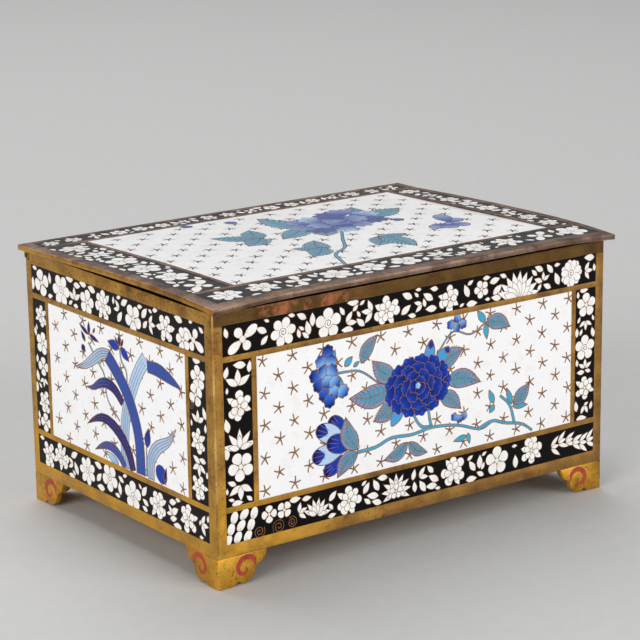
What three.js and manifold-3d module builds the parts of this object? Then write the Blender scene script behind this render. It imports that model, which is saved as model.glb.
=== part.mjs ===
// Cloisonné enamel box on four bracket feet, with a hinged lid.
// Millimetres, +Z up. The origin is on the table, under the centre of the closed box.
// +X runs along the length, +Y from the front to the hinge side.
//
// Brass sheet makes the hollow box, the lid, the feet and the hinge. Every face has five sunk
// fields, a white picture panel and four black borders, and each field holds one enamel slab.

import * as THREE from "three";
import { mergeVertices } from "three/addons/utils/BufferGeometryUtils.js";
import Module from "manifold-3d";

const wasm = await Module();
wasm.setup();

// ---------------------------------------------------------------- driving dimensions

const LENGTH = 150;
const DEPTH = 106;
const RIM_Z = 82.8;
const FOOT_HEIGHT = 9.5;
const WALL = 2.4;
const FLOOR_THICKNESS = 1.6;

const LID_THICKNESS = 1.7;
const LID_GAP = 0.1;
const LID_SIDE_OVERHANG = 1.6;
const LID_FRONT_OVERHANG = 3.4;
const LID_BACK_OVERHANG = 1.9;

// The lid is sprung: it arches up from the hinge side, and its two front corners bend down.
const LID_ARCH = 1.5;
const LID_ARCH_START = 9;
const LID_ARCH_REACH = 70;
const CORNER_BEND = 1.2;
const CORNER_BEND_REACH = 30;
const LID_CELL = 11;

// Enamel: depth of the sunk fields, how far the slab stays below the metal, and its edge gap.
const FIELD_DEPTH = 0.7;
const ENAMEL_BELOW_METAL = 0.1;
const ENAMEL_GAP = 0.03;

// Borders shared by the four sides: heights of the two long bands and of the fields between them.
const BAND_BOTTOM_Z = 13.4;
const BAND_TOP_Z = 79.0;
const LOWER_BAND_HEIGHT = 9.6;
const UPPER_BAND_HEIGHT = 9.2;
const STRIP = 1.7;

// Widths along a face, from its left edge to its right edge as seen from outside.
const FRONT_WIDTHS = { leftPost: 3.3, leftBand: 9.9, rightBand: 8.4, rightPost: 3.4 };
const SIDE_WIDTHS = { leftPost: 3.4, leftBand: 7.9, rightBand: 8.9, rightPost: 4.1 };
const LID_WIDTHS = { leftPost: 4.2, leftBand: 13.4, rightBand: 8.2, rightPost: 3.0 };
const LID_FRONT_RIM = 4.5;
const LID_BACK_RIM = 2.2;
const LID_FRONT_BAND = 11.7;
const LID_BACK_BAND = 6.6;

// Foot bracket: an L of two leaves. Each leaf is a toe, a nick, a round scroll and a curved shoulder.
const FOOT_LEAF = 2.2;
const TOE_LENGTH = 5.4;
const NICK_HEIGHT = 1.2;
const SCROLL_CENTRE = { along: 9.2, z: 4.4 };
const SCROLL_RADIUS = 3.9;
const SHOULDER_RADIUS = 4.6;
const SHOULDER_CENTRE_ALONG = 12.7;
const ARC_STEPS = 8;

// Hinge: a barrel of five knuckles let into the top of the back wall.
const BARREL_RADIUS = 1.4;
const BORE_RADIUS = 0.85;
const PIN_RADIUS = 0.8;
const PIN_RECESS = 1.2;
const KNUCKLES = 5;
const KNUCKLE_GAP = 0.25;
const BARREL_INSET = 0.8;
const LEAF_THICKNESS = 0.6;
const BODY_LEAF_HEIGHT = 8;
const LID_LEAF_REACH = 8;
const HINGE_CLEARANCE = 0.1;
const ROUND_SEGMENTS = 24;

const FLAT_HEIGHT = 1e-3;

// ---------------------------------------------------------------- places worked out from them

const LEFT_X = -LENGTH / 2;
const RIGHT_X = LENGTH / 2;
const FRONT_Y = -(DEPTH + LID_BACK_OVERHANG - LID_FRONT_OVERHANG) / 2;
const BACK_Y = FRONT_Y + DEPTH;
const LID_UNDERSIDE_Z = RIM_Z + LID_GAP;
const AXIS_Y = BACK_Y - BARREL_INSET;
const AXIS_Z = LID_UNDERSIDE_Z - HINGE_CLEARANCE - BARREL_RADIUS;
const LID = {
  left: LEFT_X - LID_SIDE_OVERHANG,
  right: RIGHT_X + LID_SIDE_OVERHANG,
  front: FRONT_Y - LID_FRONT_OVERHANG,
  back: BACK_Y + LID_BACK_OVERHANG,
};

// ---------------------------------------------------------------- materials

function metal(color, roughness) {
  return new THREE.MeshStandardMaterial({ color, roughness, metalness: 1 });
}

function enamel(color) {
  return new THREE.MeshStandardMaterial({ color, roughness: 0.2, metalness: 0 });
}

const BRASS = 0xa97a34;
const LID_BRASS = 0x8a6a44;
const STEEL = 0x6d6a62;
const WHITE_ENAMEL = 0xeeede8;
const BLACK_ENAMEL = 0x141318;

// ---------------------------------------------------------------- booleans

function solidFrom(geometry) {
  const bare = geometry.clone();
  bare.deleteAttribute("normal");
  bare.deleteAttribute("uv");
  const welded = mergeVertices(bare, 1e-5);
  return new wasm.Manifold(
    new wasm.Mesh({
      numProp: 3,
      vertProperties: new Float32Array(welded.attributes.position.array),
      triVerts: new Uint32Array(welded.index.array),
    }),
  );
}

// Height of a triangle over its longest edge, and that edge's start among its three corners.
function flatness(positions, triangle) {
  const points = triangle.map((index) => new THREE.Vector3().fromArray(positions, 3 * index));
  const lengths = points.map((point, k) => point.distanceTo(points[(k + 1) % 3]));
  const longest = lengths.indexOf(Math.max(...lengths));
  const area = new THREE.Triangle(...points).getArea();
  return { height: (2 * area) / lengths[longest], longest };
}

// A boolean can leave a flat triangle, whose middle corner lies on its longest edge. Turning that
// edge towards the middle corner splits the neighbour there instead, and the mesh stays closed.
function turnFlatTriangles(positions, triangles) {
  for (let turned = true; turned; ) {
    turned = false;
    const ownerOf = new Map();
    triangles.forEach((triangle, index) => {
      triangle.forEach((corner, k) => ownerOf.set(`${corner},${triangle[(k + 1) % 3]}`, index));
    });
    for (let index = 0; index < triangles.length && !turned; index++) {
      const { height, longest } = flatness(positions, triangles[index]);
      if (height < FLAT_HEIGHT) {
        const [a, b, c] = [0, 1, 2].map((k) => triangles[index][(longest + k) % 3]);
        const neighbour = ownerOf.get(`${b},${a}`);
        const d = triangles[neighbour].find((corner) => corner !== a && corner !== b);
        triangles[index] = [a, d, c];
        triangles[neighbour] = [d, b, c];
        turned = true;
      }
    }
  }
}

function geometryFrom(solid) {
  const mesh = solid.getMesh();
  const triangles = [];
  for (let i = 0; i < mesh.triVerts.length; i += 3) {
    triangles.push([...mesh.triVerts.slice(i, i + 3)]);
  }
  turnFlatTriangles(mesh.vertProperties, triangles);
  const geometry = new THREE.BufferGeometry();
  geometry.setAttribute("position", new THREE.BufferAttribute(mesh.vertProperties, 3));
  geometry.setIndex(triangles.flat());
  geometry.computeVertexNormals();
  return geometry;
}

function boxSolid(low, high) {
  const size = high.map((value, axis) => value - low[axis]);
  const centre = high.map((value, axis) => (value + low[axis]) / 2);
  return solidFrom(new THREE.BoxGeometry(...size).translate(...centre));
}

function rodSolid(radius, startX, endX) {
  const rod = new THREE.CylinderGeometry(radius, radius, endX - startX, ROUND_SEGMENTS);
  rod.rotateZ(Math.PI / 2);
  rod.translate((startX + endX) / 2, AXIS_Y, AXIS_Z);
  return solidFrom(rod);
}

// ---------------------------------------------------------------- the five fields of a face

// Rectangles in face coordinates: u to the right and v up, both from the face's lower left corner.
function fieldsOfFace(width, widths, rows) {
  const left = widths.leftPost;
  const right = width - widths.rightPost;
  const innerLeft = left + widths.leftBand;
  const innerRight = right - widths.rightBand;
  const low = rows.bottom + rows.lowerBand + STRIP;
  const high = rows.top - rows.upperBand - STRIP;
  return {
    lower_border: { u0: left, u1: right, v0: rows.bottom, v1: rows.bottom + rows.lowerBand },
    upper_border: { u0: left, u1: right, v0: rows.top - rows.upperBand, v1: rows.top },
    left_border: { u0: left, u1: innerLeft, v0: low, v1: high },
    right_border: { u0: innerRight, u1: right, v0: low, v1: high },
    panel: { u0: innerLeft + STRIP, u1: innerRight - STRIP, v0: low, v1: high },
  };
}

function mirrored(widths) {
  return {
    leftPost: widths.rightPost,
    leftBand: widths.rightBand,
    rightBand: widths.leftBand,
    rightPost: widths.leftPost,
  };
}

const SIDE_ROWS = {
  bottom: BAND_BOTTOM_Z,
  top: BAND_TOP_Z,
  lowerBand: LOWER_BAND_HEIGHT,
  upperBand: UPPER_BAND_HEIGHT,
};

const FRONT_FIELDS = fieldsOfFace(LENGTH, FRONT_WIDTHS, SIDE_ROWS);
const BACK_FIELDS = fieldsOfFace(LENGTH, mirrored(FRONT_WIDTHS), SIDE_ROWS);
const LEFT_FIELDS = fieldsOfFace(DEPTH, SIDE_WIDTHS, SIDE_ROWS);
const RIGHT_FIELDS = fieldsOfFace(DEPTH, mirrored(SIDE_WIDTHS), SIDE_ROWS);

// Each wall turns a field and two depths below its surface into a box in the object's frame.
const WALLS = {
  front: {
    fields: FRONT_FIELDS,
    place: (f, outer, inner) => [
      [LEFT_X + f.u0, FRONT_Y + outer, f.v0],
      [LEFT_X + f.u1, FRONT_Y + inner, f.v1],
    ],
  },
  back: {
    fields: BACK_FIELDS,
    place: (f, outer, inner) => [
      [RIGHT_X - f.u1, BACK_Y - inner, f.v0],
      [RIGHT_X - f.u0, BACK_Y - outer, f.v1],
    ],
  },
  left: {
    fields: LEFT_FIELDS,
    place: (f, outer, inner) => [
      [LEFT_X + outer, BACK_Y - f.u1, f.v0],
      [LEFT_X + inner, BACK_Y - f.u0, f.v1],
    ],
  },
  right: {
    fields: RIGHT_FIELDS,
    place: (f, outer, inner) => [
      [RIGHT_X - inner, FRONT_Y + f.u0, f.v0],
      [RIGHT_X - outer, FRONT_Y + f.u1, f.v1],
    ],
  },
};

function shrunk(field, gap) {
  return { u0: field.u0 + gap, u1: field.u1 - gap, v0: field.v0 + gap, v1: field.v1 - gap };
}

// ---------------------------------------------------------------- the hollow box

const CUT_PAST = 1;

function carcassGeometry() {
  let carcass = boxSolid([LEFT_X, FRONT_Y, FOOT_HEIGHT], [RIGHT_X, BACK_Y, RIM_Z]);
  const cavity = boxSolid(
    [LEFT_X + WALL, FRONT_Y + WALL, FOOT_HEIGHT + FLOOR_THICKNESS],
    [RIGHT_X - WALL, BACK_Y - WALL, RIM_Z + CUT_PAST],
  );
  const hingeRebate = boxSolid(
    [LEFT_X - CUT_PAST, BACK_Y - WALL - HINGE_CLEARANCE, AXIS_Z - BARREL_RADIUS - HINGE_CLEARANCE],
    [RIGHT_X + CUT_PAST, BACK_Y + CUT_PAST, RIM_Z + CUT_PAST],
  );
  carcass = carcass.subtract(cavity).subtract(hingeRebate);
  for (const wall of Object.values(WALLS)) {
    for (const field of Object.values(wall.fields)) {
      carcass = carcass.subtract(boxSolid(...wall.place(field, -CUT_PAST, FIELD_DEPTH)));
    }
  }
  return geometryFrom(carcass);
}

function wallEnamelGeometry(wall, field) {
  const outer = ENAMEL_BELOW_METAL;
  const inner = FIELD_DEPTH - ENAMEL_GAP;
  return geometryFrom(boxSolid(...wall.place(shrunk(field, ENAMEL_GAP), outer, inner)));
}

// ---------------------------------------------------------------- the sprung lid

function bendNearEdge(distance) {
  const share = Math.max(0, 1 - distance / CORNER_BEND_REACH);
  return share * share;
}

// Height of the lid's plate above its flat state.
function lidRise(x, y) {
  const along = (AXIS_Y - LID_ARCH_START - y) / LID_ARCH_REACH;
  const share = 1 - Math.min(1, Math.max(0, along));
  const arch = LID_ARCH * (1 - share * share);
  const fromSide = Math.min(x - LID.left, LID.right - x);
  const bend = CORNER_BEND * bendNearEdge(fromSide) * bendNearEdge(y - LID.front);
  return arch - bend;
}

const LID_FIELDS = fieldsOfFace(LID.right - LID.left, LID_WIDTHS, {
  bottom: LID_FRONT_RIM,
  top: LID.back - LID.front - LID_BACK_RIM,
  lowerBand: LID_FRONT_BAND,
  upperBand: LID_BACK_BAND,
});

function lidRectangle(field) {
  return {
    x0: LID.left + field.u0,
    x1: LID.left + field.u1,
    y0: LID.front + field.v0,
    y1: LID.front + field.v1,
  };
}

// Grid lines at every field edge, with the wide spaces between them split evenly.
function gridLines(edges) {
  const sorted = [...new Set(edges)].sort((a, b) => a - b);
  const lines = [sorted[0]];
  for (let i = 1; i < sorted.length; i++) {
    const span = sorted[i] - sorted[i - 1];
    const parts = Math.ceil(span / LID_CELL);
    for (let part = 1; part <= parts; part++) {
      lines.push(sorted[i - 1] + (span * part) / parts);
    }
  }
  return lines;
}

const LID_RECTANGLES = Object.values(LID_FIELDS).map(lidRectangle);
const LID_X_LINES = gridLines([LID.left, LID.right, ...LID_RECTANGLES.flatMap((r) => [r.x0, r.x1])]);
const LID_Y_LINES = gridLines([LID.front, LID.back, ...LID_RECTANGLES.flatMap((r) => [r.y0, r.y1])]);

// A closed plate over a grid. Each cell's top lies at topAt(x, y) of its centre, and every
// vertex is lifted by lidRise, so plates over the same lines nest without touching.
function risenPlate(xLines, yLines, bottomZ, topAt) {
  const positions = [];
  const indices = [];
  const known = new Map();

  function vertex(i, j, z) {
    const key = `${i},${j},${z}`;
    if (!known.has(key)) {
      known.set(key, positions.length / 3);
      positions.push(xLines[i], yLines[j], z + lidRise(xLines[i], yLines[j]));
    }
    return known.get(key);
  }

  function quad(a, b, c, d) {
    indices.push(a, b, c, a, c, d);
  }

  function topOf(i, j) {
    const inside = i >= 0 && j >= 0 && i < xLines.length - 1 && j < yLines.length - 1;
    if (!inside) {
      return bottomZ;
    }
    return topAt((xLines[i] + xLines[i + 1]) / 2, (yLines[j] + yLines[j + 1]) / 2);
  }

  // A wall between two cells faces the lower one.
  function wall(i0, j0, i1, j1, here, there) {
    if (here > there) {
      quad(vertex(i0, j0, there), vertex(i1, j1, there), vertex(i1, j1, here), vertex(i0, j0, here));
    }
  }

  for (let i = 0; i < xLines.length - 1; i++) {
    for (let j = 0; j < yLines.length - 1; j++) {
      const top = topOf(i, j);
      quad(vertex(i, j, top), vertex(i + 1, j, top), vertex(i + 1, j + 1, top), vertex(i, j + 1, top));
      quad(
        vertex(i, j, bottomZ),
        vertex(i, j + 1, bottomZ),
        vertex(i + 1, j + 1, bottomZ),
        vertex(i + 1, j, bottomZ),
      );
      wall(i, j, i + 1, j, top, topOf(i, j - 1));
      wall(i + 1, j, i + 1, j + 1, top, topOf(i + 1, j));
      wall(i + 1, j + 1, i, j + 1, top, topOf(i, j + 1));
      wall(i, j + 1, i, j, top, topOf(i - 1, j));
    }
  }
  const geometry = new THREE.BufferGeometry();
  geometry.setAttribute("position", new THREE.Float32BufferAttribute(positions, 3));
  geometry.setIndex(indices);
  geometry.computeVertexNormals();
  return geometry;
}

function contains(rectangle, x, y) {
  return x > rectangle.x0 && x < rectangle.x1 && y > rectangle.y0 && y < rectangle.y1;
}

function lidPlateGeometry() {
  const top = LID_UNDERSIDE_Z + LID_THICKNESS;
  return risenPlate(LID_X_LINES, LID_Y_LINES, LID_UNDERSIDE_Z, (x, y) =>
    LID_RECTANGLES.some((rectangle) => contains(rectangle, x, y)) ? top - FIELD_DEPTH : top,
  );
}

function lidEnamelGeometry(field) {
  const r = lidRectangle(shrunk(field, ENAMEL_GAP));
  const xLines = [r.x0, ...LID_X_LINES.filter((x) => x > r.x0 + 1 && x < r.x1 - 1), r.x1];
  const yLines = [r.y0, ...LID_Y_LINES.filter((y) => y > r.y0 + 1 && y < r.y1 - 1), r.y1];
  const top = LID_UNDERSIDE_Z + LID_THICKNESS;
  const bottomZ = top - FIELD_DEPTH + ENAMEL_GAP;
  return risenPlate(xLines, yLines, bottomZ, () => top - ENAMEL_BELOW_METAL);
}

// ---------------------------------------------------------------- feet

// Where two circles cross, on the side to the right of the way from the first to the second.
function circleCrossing(first, firstRadius, second, secondRadius) {
  const between = second.clone().sub(first);
  const distance = between.length();
  const along = (firstRadius ** 2 - secondRadius ** 2 + distance ** 2) / (2 * distance);
  const across = Math.sqrt(firstRadius ** 2 - along ** 2);
  const forward = between.normalize();
  const right = new THREE.Vector2(forward.y, -forward.x);
  return first.clone().addScaledVector(forward, along).addScaledVector(right, across);
}

function arcPoints(centre, radius, startAngle, endAngle) {
  return Array.from({ length: ARC_STEPS + 1 }, (_, step) => {
    const angle = startAngle + ((endAngle - startAngle) * step) / ARC_STEPS;
    return new THREE.Vector2(centre.x + radius * Math.cos(angle), centre.y + radius * Math.sin(angle));
  });
}

// Outline of one leaf: distance from the outer corner in x, height in y.
function footOutline() {
  const scroll = new THREE.Vector2(SCROLL_CENTRE.along, SCROLL_CENTRE.z);
  const shoulder = new THREE.Vector2(SHOULDER_CENTRE_ALONG, FOOT_HEIGHT);
  const cusp = circleCrossing(scroll, SCROLL_RADIUS, shoulder, SHOULDER_RADIUS);
  const nickAngle = Math.PI + Math.asin((scroll.y - NICK_HEIGHT) / SCROLL_RADIUS);
  const cuspOnScroll = cusp.clone().sub(scroll).angle() + 2 * Math.PI;
  const cuspOnShoulder = cusp.clone().sub(shoulder).angle() - 2 * Math.PI;
  return [
    new THREE.Vector2(0, 0),
    new THREE.Vector2(TOE_LENGTH, 0),
    ...arcPoints(scroll, SCROLL_RADIUS, nickAngle, cuspOnScroll),
    ...arcPoints(shoulder, SHOULDER_RADIUS, cuspOnShoulder, 0).slice(1),
    new THREE.Vector2(0, FOOT_HEIGHT),
  ];
}

// Exact swaps of two axes keep shared planes shared, which a turn by a rounded angle would not.
const SWAP_Y_AND_Z = new THREE.Matrix4().set(1, 0, 0, 0, 0, 0, 1, 0, 0, 1, 0, 0, 0, 0, 0, 1);
const SWAP_X_AND_Y = new THREE.Matrix4().set(0, 1, 0, 0, 1, 0, 0, 0, 0, 0, 1, 0, 0, 0, 0, 1);

// The leaf along X: its outline stands up in XZ, and its thickness runs towards +Y.
function leafSolid() {
  const flat = new THREE.ExtrudeGeometry(new THREE.Shape(footOutline()), {
    depth: FOOT_LEAF,
    bevelEnabled: false,
  });
  return solidFrom(flat).transform(SWAP_Y_AND_Z.elements);
}

// signX and signY point from the box's corner towards its middle.
function footGeometry(signX, signY) {
  const alongX = leafSolid();
  const alongY = leafSolid().transform(SWAP_X_AND_Y.elements);
  let foot = alongX.add(alongY);
  if (signX < 0) {
    foot = foot.mirror([1, 0, 0]);
  }
  if (signY < 0) {
    foot = foot.mirror([0, 1, 0]);
  }
  const cornerX = signX > 0 ? LEFT_X : RIGHT_X;
  const cornerY = signY > 0 ? FRONT_Y : BACK_Y;
  return geometryFrom(foot.translate([cornerX, cornerY, 0]));
}

// ---------------------------------------------------------------- hinge

function knuckleSpans() {
  const length = (LENGTH - (KNUCKLES - 1) * KNUCKLE_GAP) / KNUCKLES;
  return Array.from({ length: KNUCKLES }, (_, index) => {
    const start = LEFT_X + index * (length + KNUCKLE_GAP);
    return { start, end: start + length, onBox: index % 2 === 0 };
  });
}

// Inside the box the leaves stop short of its side walls.
function leafSpan(span) {
  return {
    start: Math.max(span.start, LEFT_X + WALL + HINGE_CLEARANCE),
    end: Math.min(span.end, RIGHT_X - WALL - HINGE_CLEARANCE),
  };
}

function boxLeafSolid(span) {
  const { start, end } = leafSpan(span);
  const leafY = BACK_Y - WALL - LEAF_THICKNESS;
  const strip = boxSolid([start, leafY, AXIS_Z - BODY_LEAF_HEIGHT], [end, BACK_Y - WALL, AXIS_Z]);
  const bridge = boxSolid([start, leafY, AXIS_Z - BARREL_RADIUS], [end, AXIS_Y, AXIS_Z]);
  return strip.add(bridge);
}

function lidLeafSolid(span) {
  const top = LID_UNDERSIDE_Z - ENAMEL_GAP;
  return boxSolid(
    [span.start, AXIS_Y - LID_LEAF_REACH, top - LEAF_THICKNESS],
    [span.end, AXIS_Y, top],
  );
}

function knuckleGeometry(span) {
  const leaf = span.onBox ? boxLeafSolid(span) : lidLeafSolid(span);
  const barrel = rodSolid(BARREL_RADIUS, span.start, span.end);
  const bore = rodSolid(BORE_RADIUS, span.start - CUT_PAST, span.end + CUT_PAST);
  return geometryFrom(barrel.add(leaf).subtract(bore));
}

function pinGeometry() {
  return geometryFrom(rodSolid(PIN_RADIUS, LEFT_X + PIN_RECESS, RIGHT_X - PIN_RECESS));
}

// ---------------------------------------------------------------- the assembled object

const box = new THREE.Group();
const lid = new THREE.Group();

function addMesh(group, name, geometry, material) {
  const mesh = new THREE.Mesh(geometry, material);
  mesh.name = name;
  group.add(mesh);
}

function enamelFor(fieldName) {
  return enamel(fieldName === "panel" ? WHITE_ENAMEL : BLACK_ENAMEL);
}

addMesh(box, "box_carcass", carcassGeometry(), metal(BRASS, 0.4));
for (const [wallName, wall] of Object.entries(WALLS)) {
  for (const [fieldName, field] of Object.entries(wall.fields)) {
    const name = `${wallName}_${fieldName}_enamel`;
    addMesh(box, name, wallEnamelGeometry(wall, field), enamelFor(fieldName));
  }
}

const CORNERS = {
  front_left: [1, 1],
  front_right: [-1, 1],
  back_left: [1, -1],
  back_right: [-1, -1],
};
for (const [cornerName, [signX, signY]] of Object.entries(CORNERS)) {
  addMesh(box, `foot_${cornerName}`, footGeometry(signX, signY), metal(BRASS, 0.35));
}

addMesh(lid, "lid_plate", lidPlateGeometry(), metal(LID_BRASS, 0.45));
for (const [fieldName, field] of Object.entries(LID_FIELDS)) {
  addMesh(lid, `lid_${fieldName}_enamel`, lidEnamelGeometry(field), enamelFor(fieldName));
}

knuckleSpans().forEach((span, index) => {
  const group = span.onBox ? box : lid;
  addMesh(group, `hinge_knuckle_${index + 1}`, knuckleGeometry(span), metal(BRASS, 0.45));
});
addMesh(box, "hinge_pin", pinGeometry(), metal(STEEL, 0.5));

const object = new THREE.Group();
object.add(box, lid);

export default object;
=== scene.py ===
"""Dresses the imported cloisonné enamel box: gilt brass, inlaid enamel pictures, feet, lid and hinge.

Pictures are drawn in millimetres on a face, as cells of enamel with a wire round each, and one
flat subdivision turns a whole field into touching enamel and wire faces, as in real cloisonné.
"""

from __future__ import annotations

import logging
import math
import random
from dataclasses import dataclass, field
from enum import Enum
from typing import Callable, Iterable, Sequence

import bmesh
import bpy
from mathutils import Matrix, Vector
from mathutils.geometry import delaunay_2d_cdt


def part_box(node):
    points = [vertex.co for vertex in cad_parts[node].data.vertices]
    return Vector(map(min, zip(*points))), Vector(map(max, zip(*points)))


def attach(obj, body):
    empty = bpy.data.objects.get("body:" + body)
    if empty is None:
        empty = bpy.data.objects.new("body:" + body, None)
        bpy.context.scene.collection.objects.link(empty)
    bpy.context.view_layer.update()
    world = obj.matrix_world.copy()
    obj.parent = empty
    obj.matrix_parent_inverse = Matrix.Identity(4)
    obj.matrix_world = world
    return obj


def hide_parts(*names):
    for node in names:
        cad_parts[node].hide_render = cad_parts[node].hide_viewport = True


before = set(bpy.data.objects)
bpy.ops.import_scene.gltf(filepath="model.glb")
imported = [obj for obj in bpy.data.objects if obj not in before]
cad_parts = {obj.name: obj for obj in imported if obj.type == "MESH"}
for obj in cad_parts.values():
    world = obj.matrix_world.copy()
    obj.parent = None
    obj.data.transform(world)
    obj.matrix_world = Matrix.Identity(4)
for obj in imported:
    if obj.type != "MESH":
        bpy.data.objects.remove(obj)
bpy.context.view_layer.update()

LOG = logging.getLogger("enamel_box")
MM = 0.001
Point = tuple[float, float]
Outline = list[Vector]
Colour = tuple[float, float, float, float]
Mesh = bmesh.types.BMesh
Piece = bpy.types.Object
Material = bpy.types.Material
Tree = bpy.types.NodeTree
Socket = bpy.types.NodeSocket

# the Mix node has several sockets of one name, so its colour sockets are known by number
MIX_SHARE, MIX_UNDER, MIX_OVER, MIX_RESULT = 0, 6, 7, 2
# how the flat subdivision works: it keeps only what lies in outlines, and joins points this near
CDT_WITHIN_OUTLINES = 1
CDT_JOIN_MM = 1e-5
# how CAD copies are cleaned: points this near are one, and faces that turn less are one face
MERGE_MM = 0.001
FLAT_DEG = 0.5
# edges that turn more than this stay sharp to the eye
SMOOTH_DEG = 40.0
# a face whose normal has this much of a direction in it looks that way
FACING = 0.9


def linear(code: str) -> Colour:
    """Turns an sRGB hex colour into the linear colour that shaders use.

    Args:
        code: the colour, as #rrggbb.

    Returns:
        Its red, green, blue and alpha.
    """
    channels = [int(code[i : i + 2], 16) / 255 for i in (1, 3, 5)]
    r, g, b = (c / 12.92 if c <= 0.04045 else ((c + 0.055) / 1.055) ** 2.4 for c in channels)
    return (r, g, b, 1.0)


# ---------- faces of the box


class Side(Enum):
    """The five faces that carry enamel."""

    FRONT = "front"
    BACK = "back"
    LEFT = "left"
    RIGHT = "right"
    TOP = "lid"


@dataclass(frozen=True)
class LidForm:
    """How the sprung lid rises above its flat state. Sizes in millimetres.

    It arches up from the hinge side, and its two front corners bend down.
    """

    low: Vector
    high: Vector
    axis_y: float
    arch: float = 1.5
    arch_start: float = 9.0
    arch_reach: float = 70.0
    bend: float = 1.2
    bend_reach: float = 30.0

    def _near(self, distance: float) -> float:
        """How much of the corner bend is felt at a distance from an edge."""
        return max(0.0, 1 - distance / self.bend_reach) ** 2

    def rise(self, x: float, y: float) -> float:
        """Height of the lid above its flat state at a place on it.

        Args:
            x: place along the length.
            y: place from front to back.

        Returns:
            The height, in millimetres.
        """
        along = (self.axis_y - self.arch_start - y) / self.arch_reach
        share = 1 - min(1.0, max(0.0, along))
        from_side = min(x - self.low.x, self.high.x - x)
        bend = self.bend * self._near(from_side) * self._near(y - self.low.y)
        return self.arch * (1 - share * share) - bend


@dataclass(frozen=True)
class Face:
    """A face of the box, with u to the right and v up as seen from outside, in millimetres."""

    side: Side
    origin: Vector
    right: Vector
    up: Vector
    lid_form: LidForm | None = None

    @property
    def out(self) -> Vector:
        """The face's outward direction."""
        return self.right.cross(self.up)

    def place(self, u: float, v: float, height: float) -> Vector:
        """Turns a place on the face into the object's frame.

        Args:
            u: distance to the right of the face's lower left corner.
            v: distance above it.
            height: distance out of the metal's surface.

        Returns:
            The point, in metres.
        """
        point = self.origin + self.right * u + self.up * v + self.out * height
        if self.lid_form:
            point.z += self.lid_form.rise(point.x, point.y)
        return point * MM

    def rectangle(self, node: str) -> tuple[Vector, Vector]:
        """Finds where a node lies on the face.

        Args:
            node: the CAD node.

        Returns:
            Its lower left and upper right corners, in face coordinates.
        """
        corners = [corner / MM - self.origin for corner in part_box(node)]
        us = sorted(corner.dot(self.right) for corner in corners)
        vs = sorted(corner.dot(self.up) for corner in corners)
        return Vector((us[0], vs[0])), Vector((us[1], vs[1]))


def faces_of_box() -> dict[Side, Face]:
    """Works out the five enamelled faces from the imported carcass, lid and hinge.

    Returns:
        The face on each side.
    """
    low, high = (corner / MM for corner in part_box("box_carcass"))
    lid_low, lid_high = (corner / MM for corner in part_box("lid_plate"))
    pin_low, pin_high = (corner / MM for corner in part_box("hinge_pin"))
    x, y, z = Vector((1, 0, 0)), Vector((0, 1, 0)), Vector((0, 0, 1))
    form = LidForm(lid_low, lid_high, (pin_low.y + pin_high.y) / 2)
    flat_top = lid_high.z - form.arch
    return {
        Side.FRONT: Face(Side.FRONT, Vector((low.x, low.y, 0)), x, z),
        Side.BACK: Face(Side.BACK, Vector((high.x, high.y, 0)), -x, z),
        Side.LEFT: Face(Side.LEFT, Vector((low.x, high.y, 0)), -y, z),
        Side.RIGHT: Face(Side.RIGHT, Vector((high.x, low.y, 0)), y, z),
        Side.TOP: Face(Side.TOP, Vector((lid_low.x, lid_low.y, flat_top)), x, y, form),
    }


# ---------- enamel colours


class Glaze(Enum):
    """The enamels, each by the colour it fires to."""

    WHITE = "#f7f6f6"
    PETAL = "#fbfaf8"
    PETAL_SHADE = "#f1eee8"
    BLACK = "#060507"
    COBALT = "#143ba6"
    DEEP_COBALT = "#06155f"
    SHEEN = "#3368cf"
    SKY = "#7fb8ec"
    PALE = "#b7d3f3"
    MIST = "#a2bedc"
    AZURE = "#4a9fd6"
    TURQUOISE = "#5699b8"
    TEAL = "#7ba9c0"
    MAUVE = "#8594b8"
    STEM = "#46a5c8"
    INDIGO = "#22256c"
    ROYAL = "#364f9c"
    VIOLET = "#475b9f"
    LILAC = "#8e9fcd"
    LAKE = "#659db8"


DARK_GLAZES = (Glaze.INDIGO, Glaze.ROYAL)
GLAZE_COLOUR = {glaze: linear(glaze.value) for glaze in Glaze}


@dataclass(frozen=True)
class Cell:
    """One closed cell of a picture: wire metal, or an enamel that shades from near to far."""

    outline: tuple[Vector, ...]
    near: Glaze | None
    far: Glaze | None
    start: Vector
    end: Vector

    def colour_at(self, point: Vector) -> Colour:
        """Finds the enamel's colour at a point, between near at the start and far at the end.

        Args:
            point: a place in the cell.

        Returns:
            The colour.
        """
        span = self.end - self.start
        share = (point - self.start).dot(span) / max(span.length_squared, 1e-9)
        share = min(1.0, max(0.0, (share - 0.25) / 0.6))
        near, far = GLAZE_COLOUR[self.near], GLAZE_COLOUR[self.far]
        return tuple(a + (b - a) * share for a, b in zip(near, far))


# ---------- outlines


class Profile(Enum):
    """How a cell's half width changes from its base, 0, to its tip, 1."""

    LEAF = "leaf"
    PETAL = "petal"
    BUD = "bud"
    BLADE = "blade"
    BAND = "band"
    STEM = "stem"

    def share(self, t: float) -> float:
        """Finds how wide a cell is along its length.

        Args:
            t: the place, from 0 at the base to 1 at the tip.

        Returns:
            The half width, as a share of the widest.
        """
        if self is Profile.LEAF:
            return math.sin(math.pi * t**0.8)
        if self is Profile.PETAL:
            widest = 0.6
            if t < widest:
                return 0.16 + 0.84 * math.sin(math.pi / 2 * t / widest) ** 1.2
            return math.sqrt(max(0.0, 1 - ((t - widest) / (1 - widest)) ** 2))
        if self is Profile.BUD:
            return 1.15 * math.sqrt(max(0.0, math.sin(math.pi * t))) * (1 - 0.45 * t)
        if self is Profile.BLADE:
            return min(1.0, 0.75 + 0.7 * t) * max(0.0, 1 - t**2.6) ** 0.9
        return 1 - 0.25 * t if self is Profile.STEM else 1.0


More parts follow.
